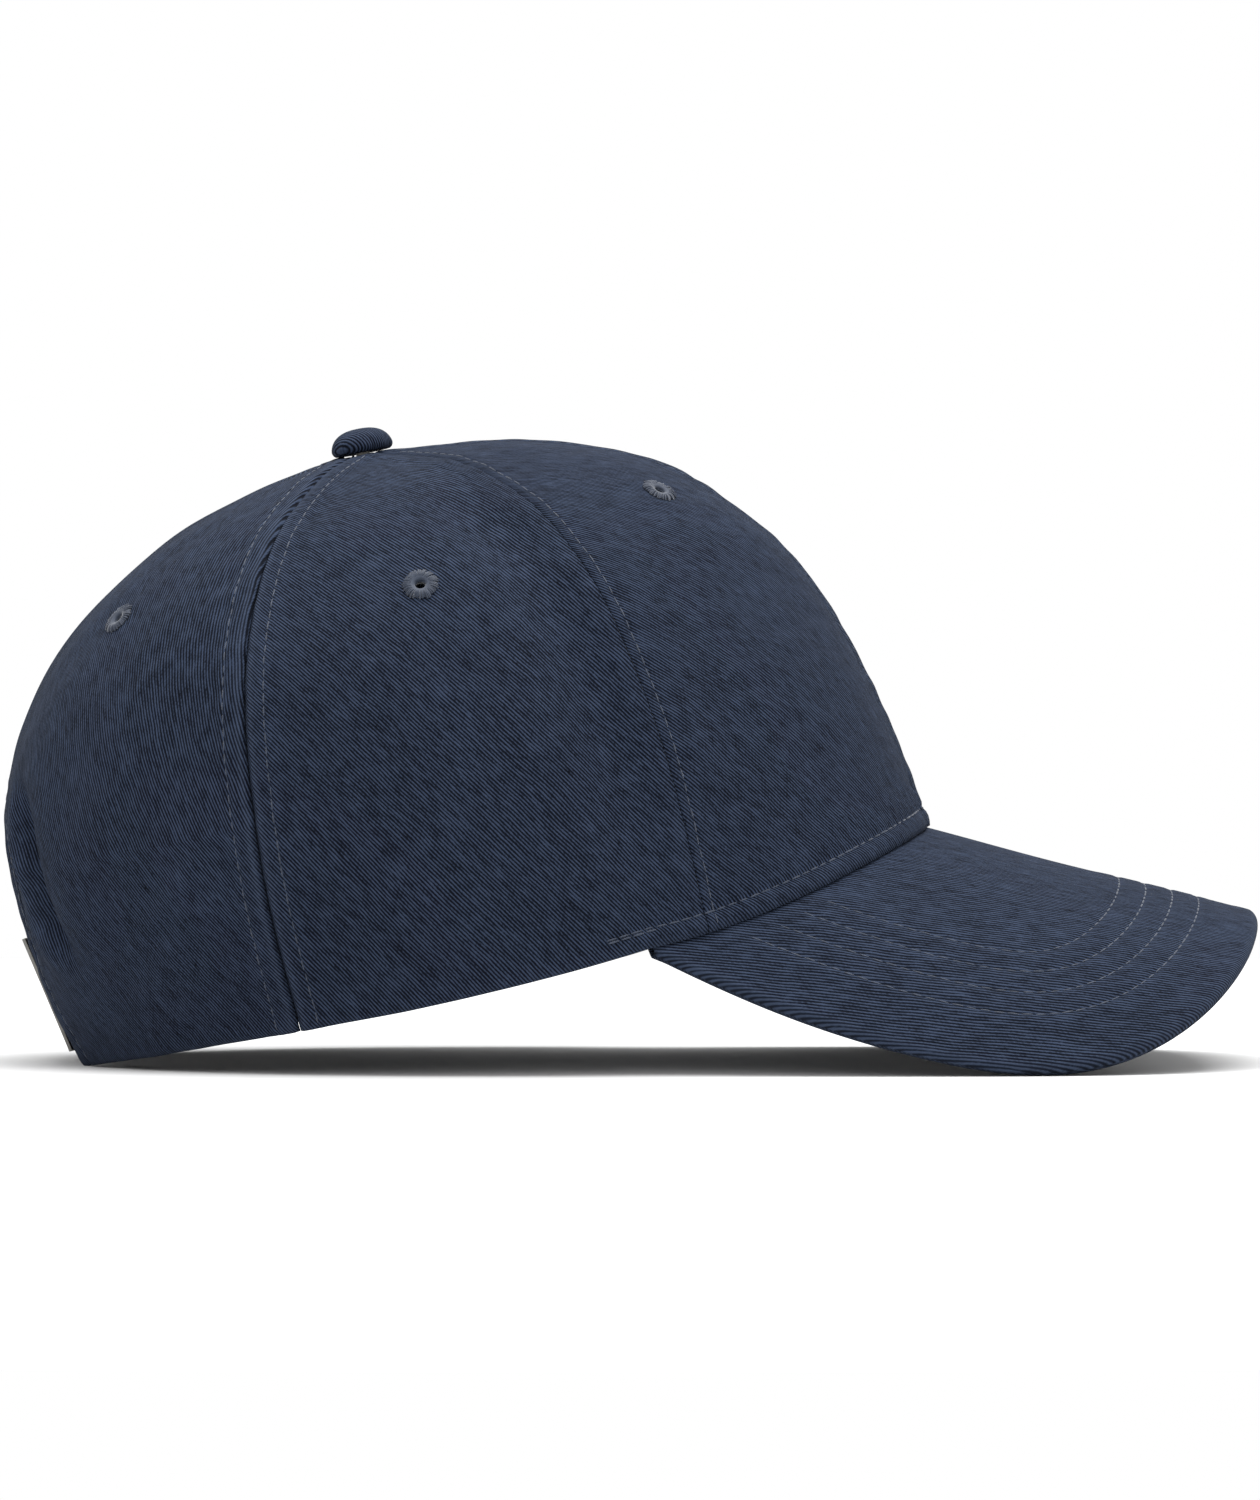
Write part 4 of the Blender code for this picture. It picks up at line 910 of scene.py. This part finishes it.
class Look(Tree):
    """A material being made, with its Principled shader ready."""

    def __init__(self, name):
        self.material = bpy.data.materials.new(name)
        self.material.use_nodes = True
        super().__init__(self.material.node_tree)
        self.shader = self.tree.nodes["Principled BSDF"]

    def cloth(self):
        """The cloth's own two coordinates, in metres."""
        both = self.node("ShaderNodeUVMap", {"uv_map": "cloth"}, {})
        return [self.node("ShaderNodeSeparateXYZ", {}, {0: both}, k) for k in range(2)]

    def place(self):
        return self.node("ShaderNodeTexCoord", {}, {}, "Object")

    def noise(self, vector, scale, detail=2.0, roughness=0.5):
        sockets = {"Vector": vector, "Scale": scale, "Detail": detail, "Roughness": roughness}
        return self.node("ShaderNodeTexNoise", {}, sockets, "Fac")

    def mix(self, share, first, second):
        sockets = {0: share, 6: first, 7: second}
        return self.node("ShaderNodeMix", {"data_type": "RGBA"}, sockets, 2)

    def attribute(self, name):
        return self.node("ShaderNodeAttribute", {"attribute_name": name}, {}, "Fac")

    def bump(self, height, distance):
        sockets = {"Height": height, "Distance": distance, "Strength": 1.0}
        return self.node("ShaderNodeBump", {}, sockets)

    def finish(self, **sockets):
        """Sets the shader's sockets by name, with spaces written as underscores."""
        self.connect(self.shader, {name.replace("_", " "): value for name, value in sockets.items()})
        return self.material


def colour(red, green, blue):
    return (red, green, blue, 1.0)


print("shader helpers ready")

# %% [markdown]
# ## Twill
# Twill's ribs run at a slant, because each yarn passes over three and under one, one step further along in
# each row. So a rib is a wave across the slant, broken into short floats along it. Cotton yarn is uneven,
# dye takes unevenly, and washing pales what stands proud; the same paling carries a painted highlight on a
# fold ridge by the rear opening. The bump uses the same heights as the colour.

# %% Twill
RIBS, VALLEYS = colour(0.0300, 0.0430, 0.0760), colour(0.0014, 0.0024, 0.0062)
PALE = colour(0.040, 0.054, 0.088)
# Painted shade: a darker copy of the ribs' colour for the brim's underside and the sweatband, which face away
# from the light.
SHADED_RIBS = colour(0.0205, 0.0285, 0.0490)
TWILL_PITCH, FINE_PITCH, BRIM_PITCH = 0.00065, 0.00060, 0.00074


def twill(name, slant, ribs=RIBS, pitch=TWILL_PITCH):
    look = Look(name)
    u, v = look.cloth()
    lean = math.radians(slant)
    swim = look.noise(look.place(), 70.0, 1.0)
    across = (u * math.sin(lean) + v * math.cos(lean)) / pitch + swim * 1.4
    along = (u * math.cos(lean) - v * math.sin(lean)) / pitch
    rib = across.wave()
    step = (along * 0.62 + across * 0.38).wave()
    yarn = look.noise(look.vector(across * 0.85, along * 0.16), 1.0, 2.0, 0.6)
    fuzz = look.noise(look.vector(across * 2.1, along * 1.7, 0.3), 1.0, 1.0)
    wash = look.noise(look.place(), 34.0, 3.0, 0.55)
    patch = look.noise(look.place(), 150.0, 2.0, 0.6)
    height = rib * 0.75 + rib * step * 0.30 + yarn * 0.45 + fuzz * 0.25
    tone = rib * 0.62 + rib * step * 0.16 + (yarn - 0.5) * 1.15 + (fuzz - 0.5) * 0.45
    slub = look.noise(look.vector(across * 0.22, along * 0.05, 0.7), 1.0, 2.0, 0.6)
    tone = (tone + (wash - 0.5) * 0.18 + (patch - 0.5) * 0.12 + (slub - 0.5) * 0.35 - 0.39) * 2.1 + 0.42
    tone = tone.limited()
    worn_and_highlight = look.attribute("worn_and_highlight")
    # Paling from washing on worn edges, which also carries the painted highlight on the fold ridge by the
    # rear opening.
    bleach_and_highlight = (worn_and_highlight * (rib * 0.55 + 0.15) + (wash - 0.62) * 0.20).limited()
    base = look.mix(bleach_and_highlight, look.mix(tone, VALLEYS, ribs), PALE)
    rough = 0.86 + (0.5 - yarn) * 0.14
    return look.finish(
        Base_Color=base, Roughness=rough, Normal=look.bump(height, 0.00016),
        Specular_IOR_Level=0.08, Sheen_Weight=0.02, Sheen_Roughness=0.5,
        Sheen_Tint=colour(0.45, 0.55, 0.75),
    )


crown_twill = twill("washed navy twill", 56.0)
rear_twill = twill("washed navy twill, rear", 66.0)
brim_twill = twill("brim twill", 80.0, pitch=BRIM_PITCH)
under_twill = twill("under-brim twill", 50.0, SHADED_RIBS)
band_twill = twill("sweatband twill", 45.0, SHADED_RIBS, FINE_PITCH)
strap_twill = twill("strap twill", 45.0)
button_twill = twill("button twill", 40.0, pitch=FINE_PITCH)
print("twills:", [material.name for material in bpy.data.materials if "twill" in material.name])

# %% [markdown]
# ## Other cloths, thread, steel and board
# A plain weave goes over one and under one, so its height is the product of two waves. Thread is twisted:
# fine bands lean round it. Stamped steel is brushed along its length and a little stained.

# %% Other finishes
def plain_weave(name, light, dark, pitch, openness=0.5, depth=0.0001, rough=0.9):
    look = Look(name)
    u, v = look.cloth()
    warp, weft = (u / pitch).wave(), (v / pitch).wave()
    checks = (u / (2 * pitch)).wave() * (v / (2 * pitch)).wave()
    yarn = look.noise(look.vector(u / pitch * 0.8, v / pitch * 0.1), 1.0, 2.0)
    wash = look.noise(look.place(), 60.0, 3.0)
    height = warp * 0.4 + weft * 0.4 + checks * 0.4 + yarn * 0.3
    tone = (warp * weft * openness * 1.6 + (yarn - 0.5) * 0.6 + (wash - 0.5) * 0.5 + 0.2).limited()
    return look.finish(Base_Color=look.mix(tone, dark, light), Roughness=rough + (0.5 - yarn) * 0.1,
                       Normal=look.bump(height, depth), Specular_IOR_Level=0.25)


def thread(name, light, dark, rough=0.62):
    look = Look(name)
    twist = look.noise(look.place(), 5200.0, 1.0)
    fade = look.noise(look.place(), 160.0, 3.0)
    tone = ((twist - 0.5) * 0.9 + (fade - 0.5) * 0.8 + 0.5).limited()
    return look.finish(Base_Color=look.mix(tone, dark, light), Roughness=rough + (twist - 0.5) * 0.2,
                       Normal=look.bump(twist, 0.00004), Specular_IOR_Level=0.35,
                       Sheen_Weight=0.3, Sheen_Roughness=0.4)


def soft_pad(name, light, dark):
    look = Look(name)
    fibres = look.noise(look.place(), 2600.0, 4.0, 0.7)
    lumps = look.noise(look.place(), 260.0, 2.0)
    tone = (fibres * 0.7 + lumps * 0.3).limited()
    return look.finish(Base_Color=look.mix(tone, dark, light), Roughness=0.95 + (lumps - 0.5) * 0.05,
                       Normal=look.bump(fibres, 0.00015))


def brushed_steel(name, light, dark):
    look = Look(name)
    place = look.place()
    drawn_out = look.node("ShaderNodeMapping", {}, {"Vector": place, "Scale": (260.0, 260.0, 9000.0)})
    grain = look.noise(drawn_out, 1.0)
    stain = look.noise(place, 420.0, 3.0, 0.6)
    scuffs = look.noise(place, 1700.0, 4.0, 0.7)
    tone = (grain * 0.5 + stain * 0.5).limited()
    rough = 0.28 + (stain - 0.4) * 0.22 + (scuffs - 0.5) * 0.12
    return look.finish(Base_Color=look.mix(tone, dark, light), Metallic=1.0, Roughness=rough,
                       Normal=look.bump(grain + scuffs * 0.4, 0.000012))


def moulded_board(name, light, dark):
    look = Look(name)
    grain = look.noise(look.place(), 900.0, 3.0)
    tone = look.noise(look.place(), 40.0, 2.0)
    return look.finish(Base_Color=look.mix(tone, dark, light), Roughness=0.5 + (grain - 0.5) * 0.2,
                       Normal=look.bump(grain, 0.00003))


TAPE_COLOURS = colour(0.032, 0.041, 0.066), colour(0.006, 0.009, 0.018)
buckram = plain_weave("buckram", colour(0.50, 0.51, 0.52), colour(0.20, 0.21, 0.22), 0.0009, 0.8, 0.0002)
tape_cloth = plain_weave("seam tape", *TAPE_COLOURS, 0.0005)
facing_cloth = plain_weave("facing cotton", *TAPE_COLOURS, 0.00045)
satin_colours = colour(0.80, 0.80, 0.78), colour(0.60, 0.60, 0.59)
satin = plain_weave("label satin", *satin_colours, 0.00025, 0.5, 0.00003, 0.5)
padding_felt = soft_pad("padding felt", colour(0.52, 0.53, 0.54), colour(0.30, 0.31, 0.32))
stitch_thread = thread("topstitch thread", colour(0.031, 0.044, 0.073), colour(0.011, 0.016, 0.030))
eyelet_thread = thread("eyelet thread", colour(0.034, 0.046, 0.074), colour(0.012, 0.017, 0.030), 0.7)
steel = brushed_steel("nickel-plated steel", colour(0.22, 0.215, 0.20), colour(0.10, 0.098, 0.095))
board = moulded_board("brim board", colour(0.62, 0.62, 0.60), colour(0.52, 0.52, 0.50))
print("finishes:", len(bpy.data.materials))

# %% [markdown]
# ## Running stitches with Geometry Nodes
# A line of stitches is one small shape repeated along a path, which is just what Geometry Nodes are for. The
# script works out where each stitch lies, which way it runs and which way is out, and stores that on a
# cloud of points. The tree puts a flattened bead of thread on each point, a little uneven, as a machine
# leaves them. Its result is baked to a plain mesh.

# %% Geometry Nodes helpers
class Growth(Tree):
    """A geometry tree with a geometry socket each way, and these named inputs."""

    def __init__(self, name, **inputs):
        super().__init__(bpy.data.node_groups.new(name, "GeometryNodeTree"))
        for label, kind in {"Geometry": "Geometry", **inputs}.items():
            self.tree.interface.new_socket(label, in_out="INPUT", socket_type=f"NodeSocket{kind}")
        self.tree.interface.new_socket("Geometry", in_out="OUTPUT", socket_type="NodeSocketGeometry")
        start = self.tree.nodes.new("NodeGroupInput")
        self.given = {socket.name: Wire(self, socket) for socket in start.outputs}

    def uneven(self, low, high, **sockets):
        """A random number between low and high for each copy."""
        sockets = {2: low, 3: high, "Seed": self.given["seed"], **sockets}
        return self.node("FunctionNodeRandomValue", {"data_type": "FLOAT"}, sockets, 1)

    def end(self, instances):
        whole = self.node("GeometryNodeRealizeInstances", {}, {0: instances})
        smooth_faces = self.node("GeometryNodeSetShadeSmooth", {}, {0: whole})
        sockets = {0: smooth_faces, "Material": self.given["thread"]}
        painted = self.node("GeometryNodeSetMaterial", {}, sockets)
        self.connect(self.tree.nodes.new("NodeGroupOutput"), {0: painted})

    def grow(self, piece, **values):
        """Runs the tree on a piece with these input values, and leaves the result as a plain mesh."""
        step = piece.modifiers.new(self.tree.name, "NODES")
        step.node_group = self.tree
        for item in self.tree.interface.items_tree:
            if item.in_out == "INPUT" and item.name in values:
                step[item.identifier] = values[item.name]
        return apply_modifiers(piece)


# %% The running-stitch tree
sewing = Growth("running stitches", length="Float", width="Float", unevenness="Float", seed="Int",
                thread="Material")
given = sewing.given
bead = sewing.node("GeometryNodeMeshUVSphere", {}, {"Segments": 7, "Rings": 5, "Radius": 1.0})
bead = sewing.node("GeometryNodeTransform", {}, {0: bead, "Rotation": (0.0, math.pi / 2, 0.0)})
size = sewing.vector(given["length"] * 0.5, given["width"] * 0.5, given["width"] * 0.36)
bead = sewing.node("GeometryNodeTransform", {}, {0: bead, "Scale": size})
along, out = (sewing.node("GeometryNodeInputNamedAttribute", {"data_type": "FLOAT_VECTOR"}, {"Name": name})
              for name in ("along", "out"))
turned = sewing.node("FunctionNodeAlignRotationToVector", {"axis": "X"}, {"Vector": along})
turned = sewing.node("FunctionNodeAlignRotationToVector", {"axis": "Z", "pivot_axis": "X"},
                     {"Rotation": turned, "Vector": out})
scale = sewing.uneven(1.0 - given["unevenness"], 1.0 + given["unevenness"])
dots = sewing.node("GeometryNodeMeshToPoints", {}, {0: given["Geometry"]})
sewing.end(sewing.node("GeometryNodeInstanceOnPoints", {},
                       {"Points": dots, "Instance": bead, "Rotation": turned, "Scale": scale}))


def stitch_spots(line, out, pitch):
    """Evenly spaced places along a line of points, each with its direction and its way out."""
    lengths = run_lengths(line)
    at = np.arange(pitch / 2, lengths[-1], pitch)
    pick = lambda values, where: np.stack([np.interp(where, lengths, values[:, k]) for k in range(3)], axis=1)
    along = pick(line, at + pitch / 4) - pick(line, at - pitch / 4)
    return np.concatenate([pick(line, at), along, pick(out, at)], axis=1)


def stitches(name, spots, length, width, seed):
    """One plain mesh of stitches from rows of (place, direction, out)."""
    spots = np.concatenate(spots)
    mesh = bpy.data.meshes.new(name)
    mesh.from_pydata(spots[:, :3].tolist(), [], [])
    for label, columns in (("along", slice(3, 6)), ("out", slice(6, 9))):
        stored = mesh.attributes.new(label, "FLOAT_VECTOR", "POINT")
        stored.data.foreach_set("vector", spots[:, columns].astype(np.float32).ravel())
    return sewing.grow(linked(name, mesh), length=length, width=width, unevenness=0.12, seed=seed,
                       thread=stitch_thread)


# %% [markdown]
# ### Where the stitches run
# Each line is followed on the surface that it is sewn through, so it dips and ripples with the cloth.

# %% Stitches on the crown
STITCH_PITCH, STITCH_LENGTH, THREAD_WIDTH = 0.0029, 0.0023, 0.00034
STITCHED_TO, TAPE_STITCHED_TO = 0.0095, 0.0165  # distances from the button's axis
TAPE_STITCH = 0.0046  # from a tape's middle
THREAD_LIFT = 0.00005


def crown_line(theta, q, over=THREAD_LIFT):
    return stitch_spots(sewn_crown(theta, q, over), crown_out(theta, q) @ TIP.T, STITCH_PITCH)


crown_spots = []
for seam, offsets in SEAM_STITCH.items():
    for side in ((1,) if seam == 0.0 else (1, -1)):
        low = q_at_height(seam, hem_height(seam) + 0.001)
        q = even_meridian(seam, low, q_at_radius(seam, STITCHED_TO), 400)
        for offset in (-offsets[0], offsets[1]):
            if seam == FRONT_SEAM and offset > 0:
                continue
            crown_spots.append(crown_line((seam + offset / metres_per_radian(seam, q)) * side, q))
q = even_meridian(math.pi, arch_top(), q_at_radius(math.pi, STITCHED_TO), 300)
for side in (-1, 1):
    crown_spots.append(crown_line(math.pi + side * BACK_STITCH / metres_per_radian(math.pi, q), q))
crown_spots.append(crown_line(*whole_arch(np.linspace(0.02, math.pi / 2, 260), ARCH_STITCH)))
crown_stitches = stitches("crown_stitches", crown_spots, STITCH_LENGTH, THREAD_WIDTH, 1)

join_end = BRIM_CORNER + math.radians(6.2)
theta = np.linspace(-join_end, join_end, 900)
q = q_at_height(theta, hem_height(theta) + JOIN_STITCH)
join_spots = [crown_line(theta, q, 0.0001)]
tack = np.linspace(join_end - math.radians(7), join_end, 60)
for side in (1, -1):
    tack_q = q_at_height(tack * side, hem_height(tack) + JOIN_STITCH - 0.0006)
    join_spots.append(crown_line(tack * side, tack_q, 0.0002))
join_stitches = stitches("join_stitches", join_spots, 0.0025, 0.00042, 2)
print("crown stitches:", sum(len(spots) for spots in crown_spots), "join:", sum(len(s) for s in join_spots))

# %% Stitches on the brim
def brim_row(inset, under):
    """A row at this distance inside the outline, where the brim is clear of the crown."""
    run = np.gradient(OUTLINE, axis=0)
    inward = np.stack([-run[:, 1], run[:, 0]], axis=1) / np.linalg.norm(run, axis=1, keepdims=True)
    row = OUTLINE + inward * inset
    row = row[(from_crown(row) > 0.0022) & (from_outline(row)[0] > inset - 0.0002)]
    lift = brim_relief(row) + 0.00004
    depth, way = (BRIM_THICKNESS + lift, -1e-3) if under else (-lift, 1e-3)
    line = brim(row[:, 0], row[:, 1], depth)
    out = line - brim(row[:, 0], row[:, 1], depth + way)
    return stitch_spots(to_world(line), out @ TIP.T * 1000, 0.0030)


brim_spots = [brim_row(inset, under) for inset in BRIM_ROW_INSETS for under in (False, True)]
brim_stitches = stitches("brim_stitches", brim_spots, 0.0024, 0.00036, 3)
print("brim stitches:", sum(len(spots) for spots in brim_spots))

# %% Stitches inside and on the strap
def inner_line(theta, q, depth):
    line = inside_crown(theta, q, depth + THREAD_LIFT)
    return stitch_spots(line, -crown_out(theta, q) @ TIP.T, STITCH_PITCH)


inner_spots = []
theta = np.linspace(-band_end, band_end, 900)
band_face = BAND_DEPTH + band_ease(theta) + band_waves(theta) + BAND_CLOTH
for over_foot in (0.0022, BAND_HEIGHT - 0.0018):
    inner_spots.append(inner_line(theta, q_at_height(theta, hem_height(theta) + over_foot), band_face))
for seam, side in TAPES.values():
    low = q_at_height(seam, hem_height(seam) + BAND_HEIGHT + 0.002)
    if seam == BACK_SEAM:
        low = arch_top(FACING_WIDTH + 0.001)
    q = even_meridian(seam, low, q_at_radius(seam, TAPE_STITCHED_TO), 300)
    for offset in (-TAPE_STITCH, TAPE_STITCH):
        beside = (seam + offset / metres_per_radian(seam, q)) * side
        inner_spots.append(inner_line(beside, q, TAPE_DEPTH + TAPE_CLOTH))
inner_stitches = stitches("inner_stitches", inner_spots, STITCH_LENGTH, THREAD_WIDTH, 4)


def strap_line(start, end, up, outer, way):
    along = np.radians(np.linspace(start, end, 200))
    height = np.full(200, up)
    line = round_strap(along, height, np.full(200, outer))
    out = (round_strap(along, height, np.full(200, outer - way * 1e-3)) - line) * 1000
    return stitch_spots(to_world(line), out @ TIP.T, 0.0027)


def strip_stitches(name, start, end, outer, thickness, seed):
    """Two rows on each face of a folded strip."""
    edge, sunk = STRAP_WIDTH / 2 - 0.0026, 0.00006
    faces = ((outer + sunk, 1), (outer + thickness - sunk, -1))
    rows = [strap_line(start, end, up, face, way) for up in (-edge, edge) for face, way in faces]
    return stitches(name, rows, 0.0022, THREAD_WIDTH, seed)


strap_stitches = strip_stitches("strap_stitches", 1 - STRAP_END, STRAP_END - 1, 0.0, STRAP_CLOTH, 5)
loop_stitches = strip_stitches("loop_stitches", loop_start + 1, LOOP_END - 1, loop_outer, LOOP_CLOTH, 6)
stitched = (crown_stitches, join_stitches, brim_stitches, inner_stitches, strap_stitches, loop_stitches)
print("stitch meshes:", [len(piece.data.polygons) for piece in stitched])

# %% [markdown]
# ## Embroidered eyelets
# An eyelet is a hole whipped round with thread: dozens of short threads run over the edge, from the bore out
# to a soft, slightly ragged border. A second tree bends one thread over the edge and repeats it round a
# circle, over a padded ring that reaches through the cloth.

# %% The satin-ring tree
whipping = Growth("satin ring", threads="Int", bore="Float", outer="Float", height="Float", width="Float",
                  seed="Int", thread="Material")
given = whipping.given
inner_end = whipping.vector(given["bore"], 0.0, -0.0004)
outer_end = whipping.vector(given["outer"], 0.0, 0.00002)
crest = whipping.vector((given["bore"] + given["outer"]) * 0.46, 0.0, given["height"] * 2.0)
path = whipping.node("GeometryNodeCurveQuadraticBezier", {},
                     {"Resolution": 6, "Start": inner_end, "Middle": crest, "End": outer_end})
section = whipping.node("GeometryNodeCurvePrimitiveCircle", {},
                        {"Resolution": 5, "Radius": given["width"] * 0.5})
one_thread = whipping.node("GeometryNodeCurveToMesh", {},
                           {"Curve": path, "Profile Curve": section, "Fill Caps": True})
places = whipping.node("GeometryNodePoints", {}, {"Count": given["threads"]})
index = whipping.node("GeometryNodeInputIndex", {}, {})
turn = index / given["threads"] * (2 * math.pi) + whipping.uneven(-0.06, 0.06)
turned = whipping.node("FunctionNodeEulerToRotation", {}, {0: whipping.vector(0.0, 0.0, turn)})
reach = whipping.uneven(0.90, 1.08, ID=index)
scale = whipping.vector(reach, 1.0, reach)
whipping.end(whipping.node("GeometryNodeInstanceOnPoints", {},
                           {"Points": places, "Instance": one_thread, "Rotation": turned, "Scale": scale}))


def eyelet_frame(theta, q):
    out = Vector(crown_out(theta, q) @ TIP.T)
    return Matrix.Translation(Vector(sewn_crown(theta, q))) @ out.to_track_quat("Z", "Y").to_matrix().to_4x4()


def ring_base(name, wall, place):
    """The padded ring under the threads, out over the cloth and back through it."""
    profile = np.array([
        (1.15, 0.10), (1.35, 0.42), (1.9, 0.62), (2.6, 0.60), (3.2, 0.38), (3.55, 0.02), (3.3, -0.04),
        (1.9, -0.05), (1.9, -wall), (2.8, -wall - 0.05), (2.8, -wall - 0.4), (1.25, -wall - 0.4),
        (1.15, 0.10),
    ]) * MM
    turn = np.linspace(0, 2 * math.pi, 49)
    radius, level = profile[:, :1], profile[:, 1:]
    local = np.stack([radius * np.cos(turn), radius * np.sin(turn), level + 0 * turn], axis=-1)
    matrix = np.array(place)
    grid = local @ matrix[:3, :3].T + matrix[:3, 3]
    return close_ends(grid_object(name, grid))


eyelets, eyelet_rings = {}, {}
for number, (place_name, azimuth) in enumerate(EYELETS.items()):
    wall = 1.1 if place_name != "front" else 2.3
    for side, word in SIDES:
        frame_here = eyelet_frame(*eyelet_centre(azimuth * side))
        node = f"eyelet_{place_name}_{word}"
        eyelets[node] = ring_base(f"{node}_ring", wall, frame_here)
        ring = linked(f"{node}_threads", bpy.data.meshes.new(f"{node}_threads"))
        whipping.grow(ring, threads=64, bore=0.00115, outer=0.00375, height=0.00072, width=0.00036,
                      seed=10 + 2 * number + side, thread=eyelet_thread)
        ring.data.transform(frame_here)
        eyelet_rings[node] = ring
print("eyelet threads:", len(eyelet_rings["eyelet_side_right"].data.polygons), "faces each")

# %% [markdown]
# ## Dress every piece
# Each new piece gets its finish, rides on its body and stands for the CAD solid that it replaces. Hard
# parts whose CAD shape is right already keep their meshes and only get a better finish.

# %% Dress the pieces
for node, panel in panels.items():
    finish_piece(panel, rear_twill if node.startswith("rear") else crown_twill, "cap", "crown_twill", node)
for word, lining in linings.items():
    finish_piece(lining, buckram, "cap", "front_lining_buckram", f"front_lining_{word}")
for node, tape in tapes.items():
    finish_piece(tape, tape_cloth, "cap", "seam_tape_cotton", node)
for node in eyelets:
    finish_piece(eyelets[node], eyelet_thread, "cap", "eyelet_thread", node)
    finish_piece(eyelet_rings[node], eyelet_thread, "cap", "eyelet_thread")
for dressed in (
    (brim_top, brim_twill, "cap", "brim_top_twill", "brim_top_cover"),
    (brim_under, under_twill, "cap", "brim_under_twill", "brim_under_cover"),
    (sweatband, band_twill, "cap", "sweatband_twill", "sweatband"),
    (padding, padding_felt, "cap", "padding_foam", "sweatband_padding"),
    (label, satin, "cap", "label_satin", "care_label"),
    (facing, facing_cloth, "cap", "facing_cotton", "arch_facing"),
    (button, button_twill, "cap", "button_twill", "button_cover"),
    (strap, strap_twill, "strap", "strap_twill", "strap"),
    (loop, strap_twill, "cap", "strap_twill", "clasp_loop"),
):
    finish_piece(*dressed)
for piece in (crown_stitches, join_stitches, brim_stitches, inner_stitches, loop_stitches):
    finish_piece(piece, stitch_thread, "cap", "crown_twill")
finish_piece(strap_stitches, stitch_thread, "strap", "strap_twill")

for node, finish_look in {
    "clasp_frame": steel, "clasp_pin": steel, "clasp_lever": steel, "button_shell": steel,
    "button_post": steel, "button_washer": steel, "brim_board": board,
}.items():
    frame["nodes"][node].data.materials.clear()
    frame["nodes"][node].data.materials.append(finish_look)

# %% [markdown]
# ## Studio
# The cap stands on a wide pale floor under a pale, even sky. A broad soft light hangs straight above, so
# the crown's top is the brightest, and a weaker one fills from the viewer's side. A long lens from the
# side keeps the profile almost free of perspective.

# %% Floor, lights and camera
FLOOR_RADIUS = 0.8
around, reached = np.broadcast_arrays(
    np.linspace(0, 2 * math.pi, 97), np.linspace(1e-6, FLOOR_RADIUS, 9)[::-1, None])
floor = grid_object("studio_floor", np.stack([
    reached * np.cos(around), reached * np.sin(around), np.zeros(reached.shape)], axis=-1))
paper = Look("floor paper")
speck = paper.noise(paper.place(), 30.0, 2.0)
paper_tone = paper.mix(speck, colour(0.62, 0.62, 0.62), colour(0.65, 0.65, 0.65))
floor.data.materials.append(paper.finish(Base_Color=paper_tone, Roughness=0.95))


def softbox(name, place, target, size, power):
    lamp = bpy.data.lights.new(name, "AREA")
    lamp.shape, lamp.size, lamp.size_y, lamp.energy = "RECTANGLE", size[0], size[1], power
    holder = linked(name, lamp)
    holder.location = place
    holder.rotation_euler = (Vector(target) - Vector(place)).to_track_quat("-Z", "Y").to_euler()


middle = (0.0, 0.0, 0.07)
softbox("top light", (0.10, 0.0, 1.30), middle, (1.2, 1.2), 30.0)
softbox("fill light", (-0.3, -1.5, 0.75), middle, (1.2, 1.0), 3.0)
softbox("front light", (1.3, -0.4, 0.7), middle, (0.8, 0.8), 1.0)
world = bpy.data.worlds.new("pale room")
world.use_nodes = True
world.node_tree.nodes["Background"].inputs["Color"].default_value = (1.0, 1.0, 1.0, 1.0)
world.node_tree.nodes["Background"].inputs["Strength"].default_value = 1.0
bpy.context.scene.world = world
bpy.context.scene.view_settings.view_transform = "Standard"

lens = bpy.data.cameras.new("camera")
lens.sensor_fit, lens.sensor_height, lens.sensor_width = "VERTICAL", 36.0, 36.0
lens.lens = 172.8
camera = linked("camera", lens)
camera.location = (0.0, -1.6, 0.0691)
camera.rotation_euler = (math.pi / 2, 0.0, 0.0)
bpy.context.scene.camera = camera
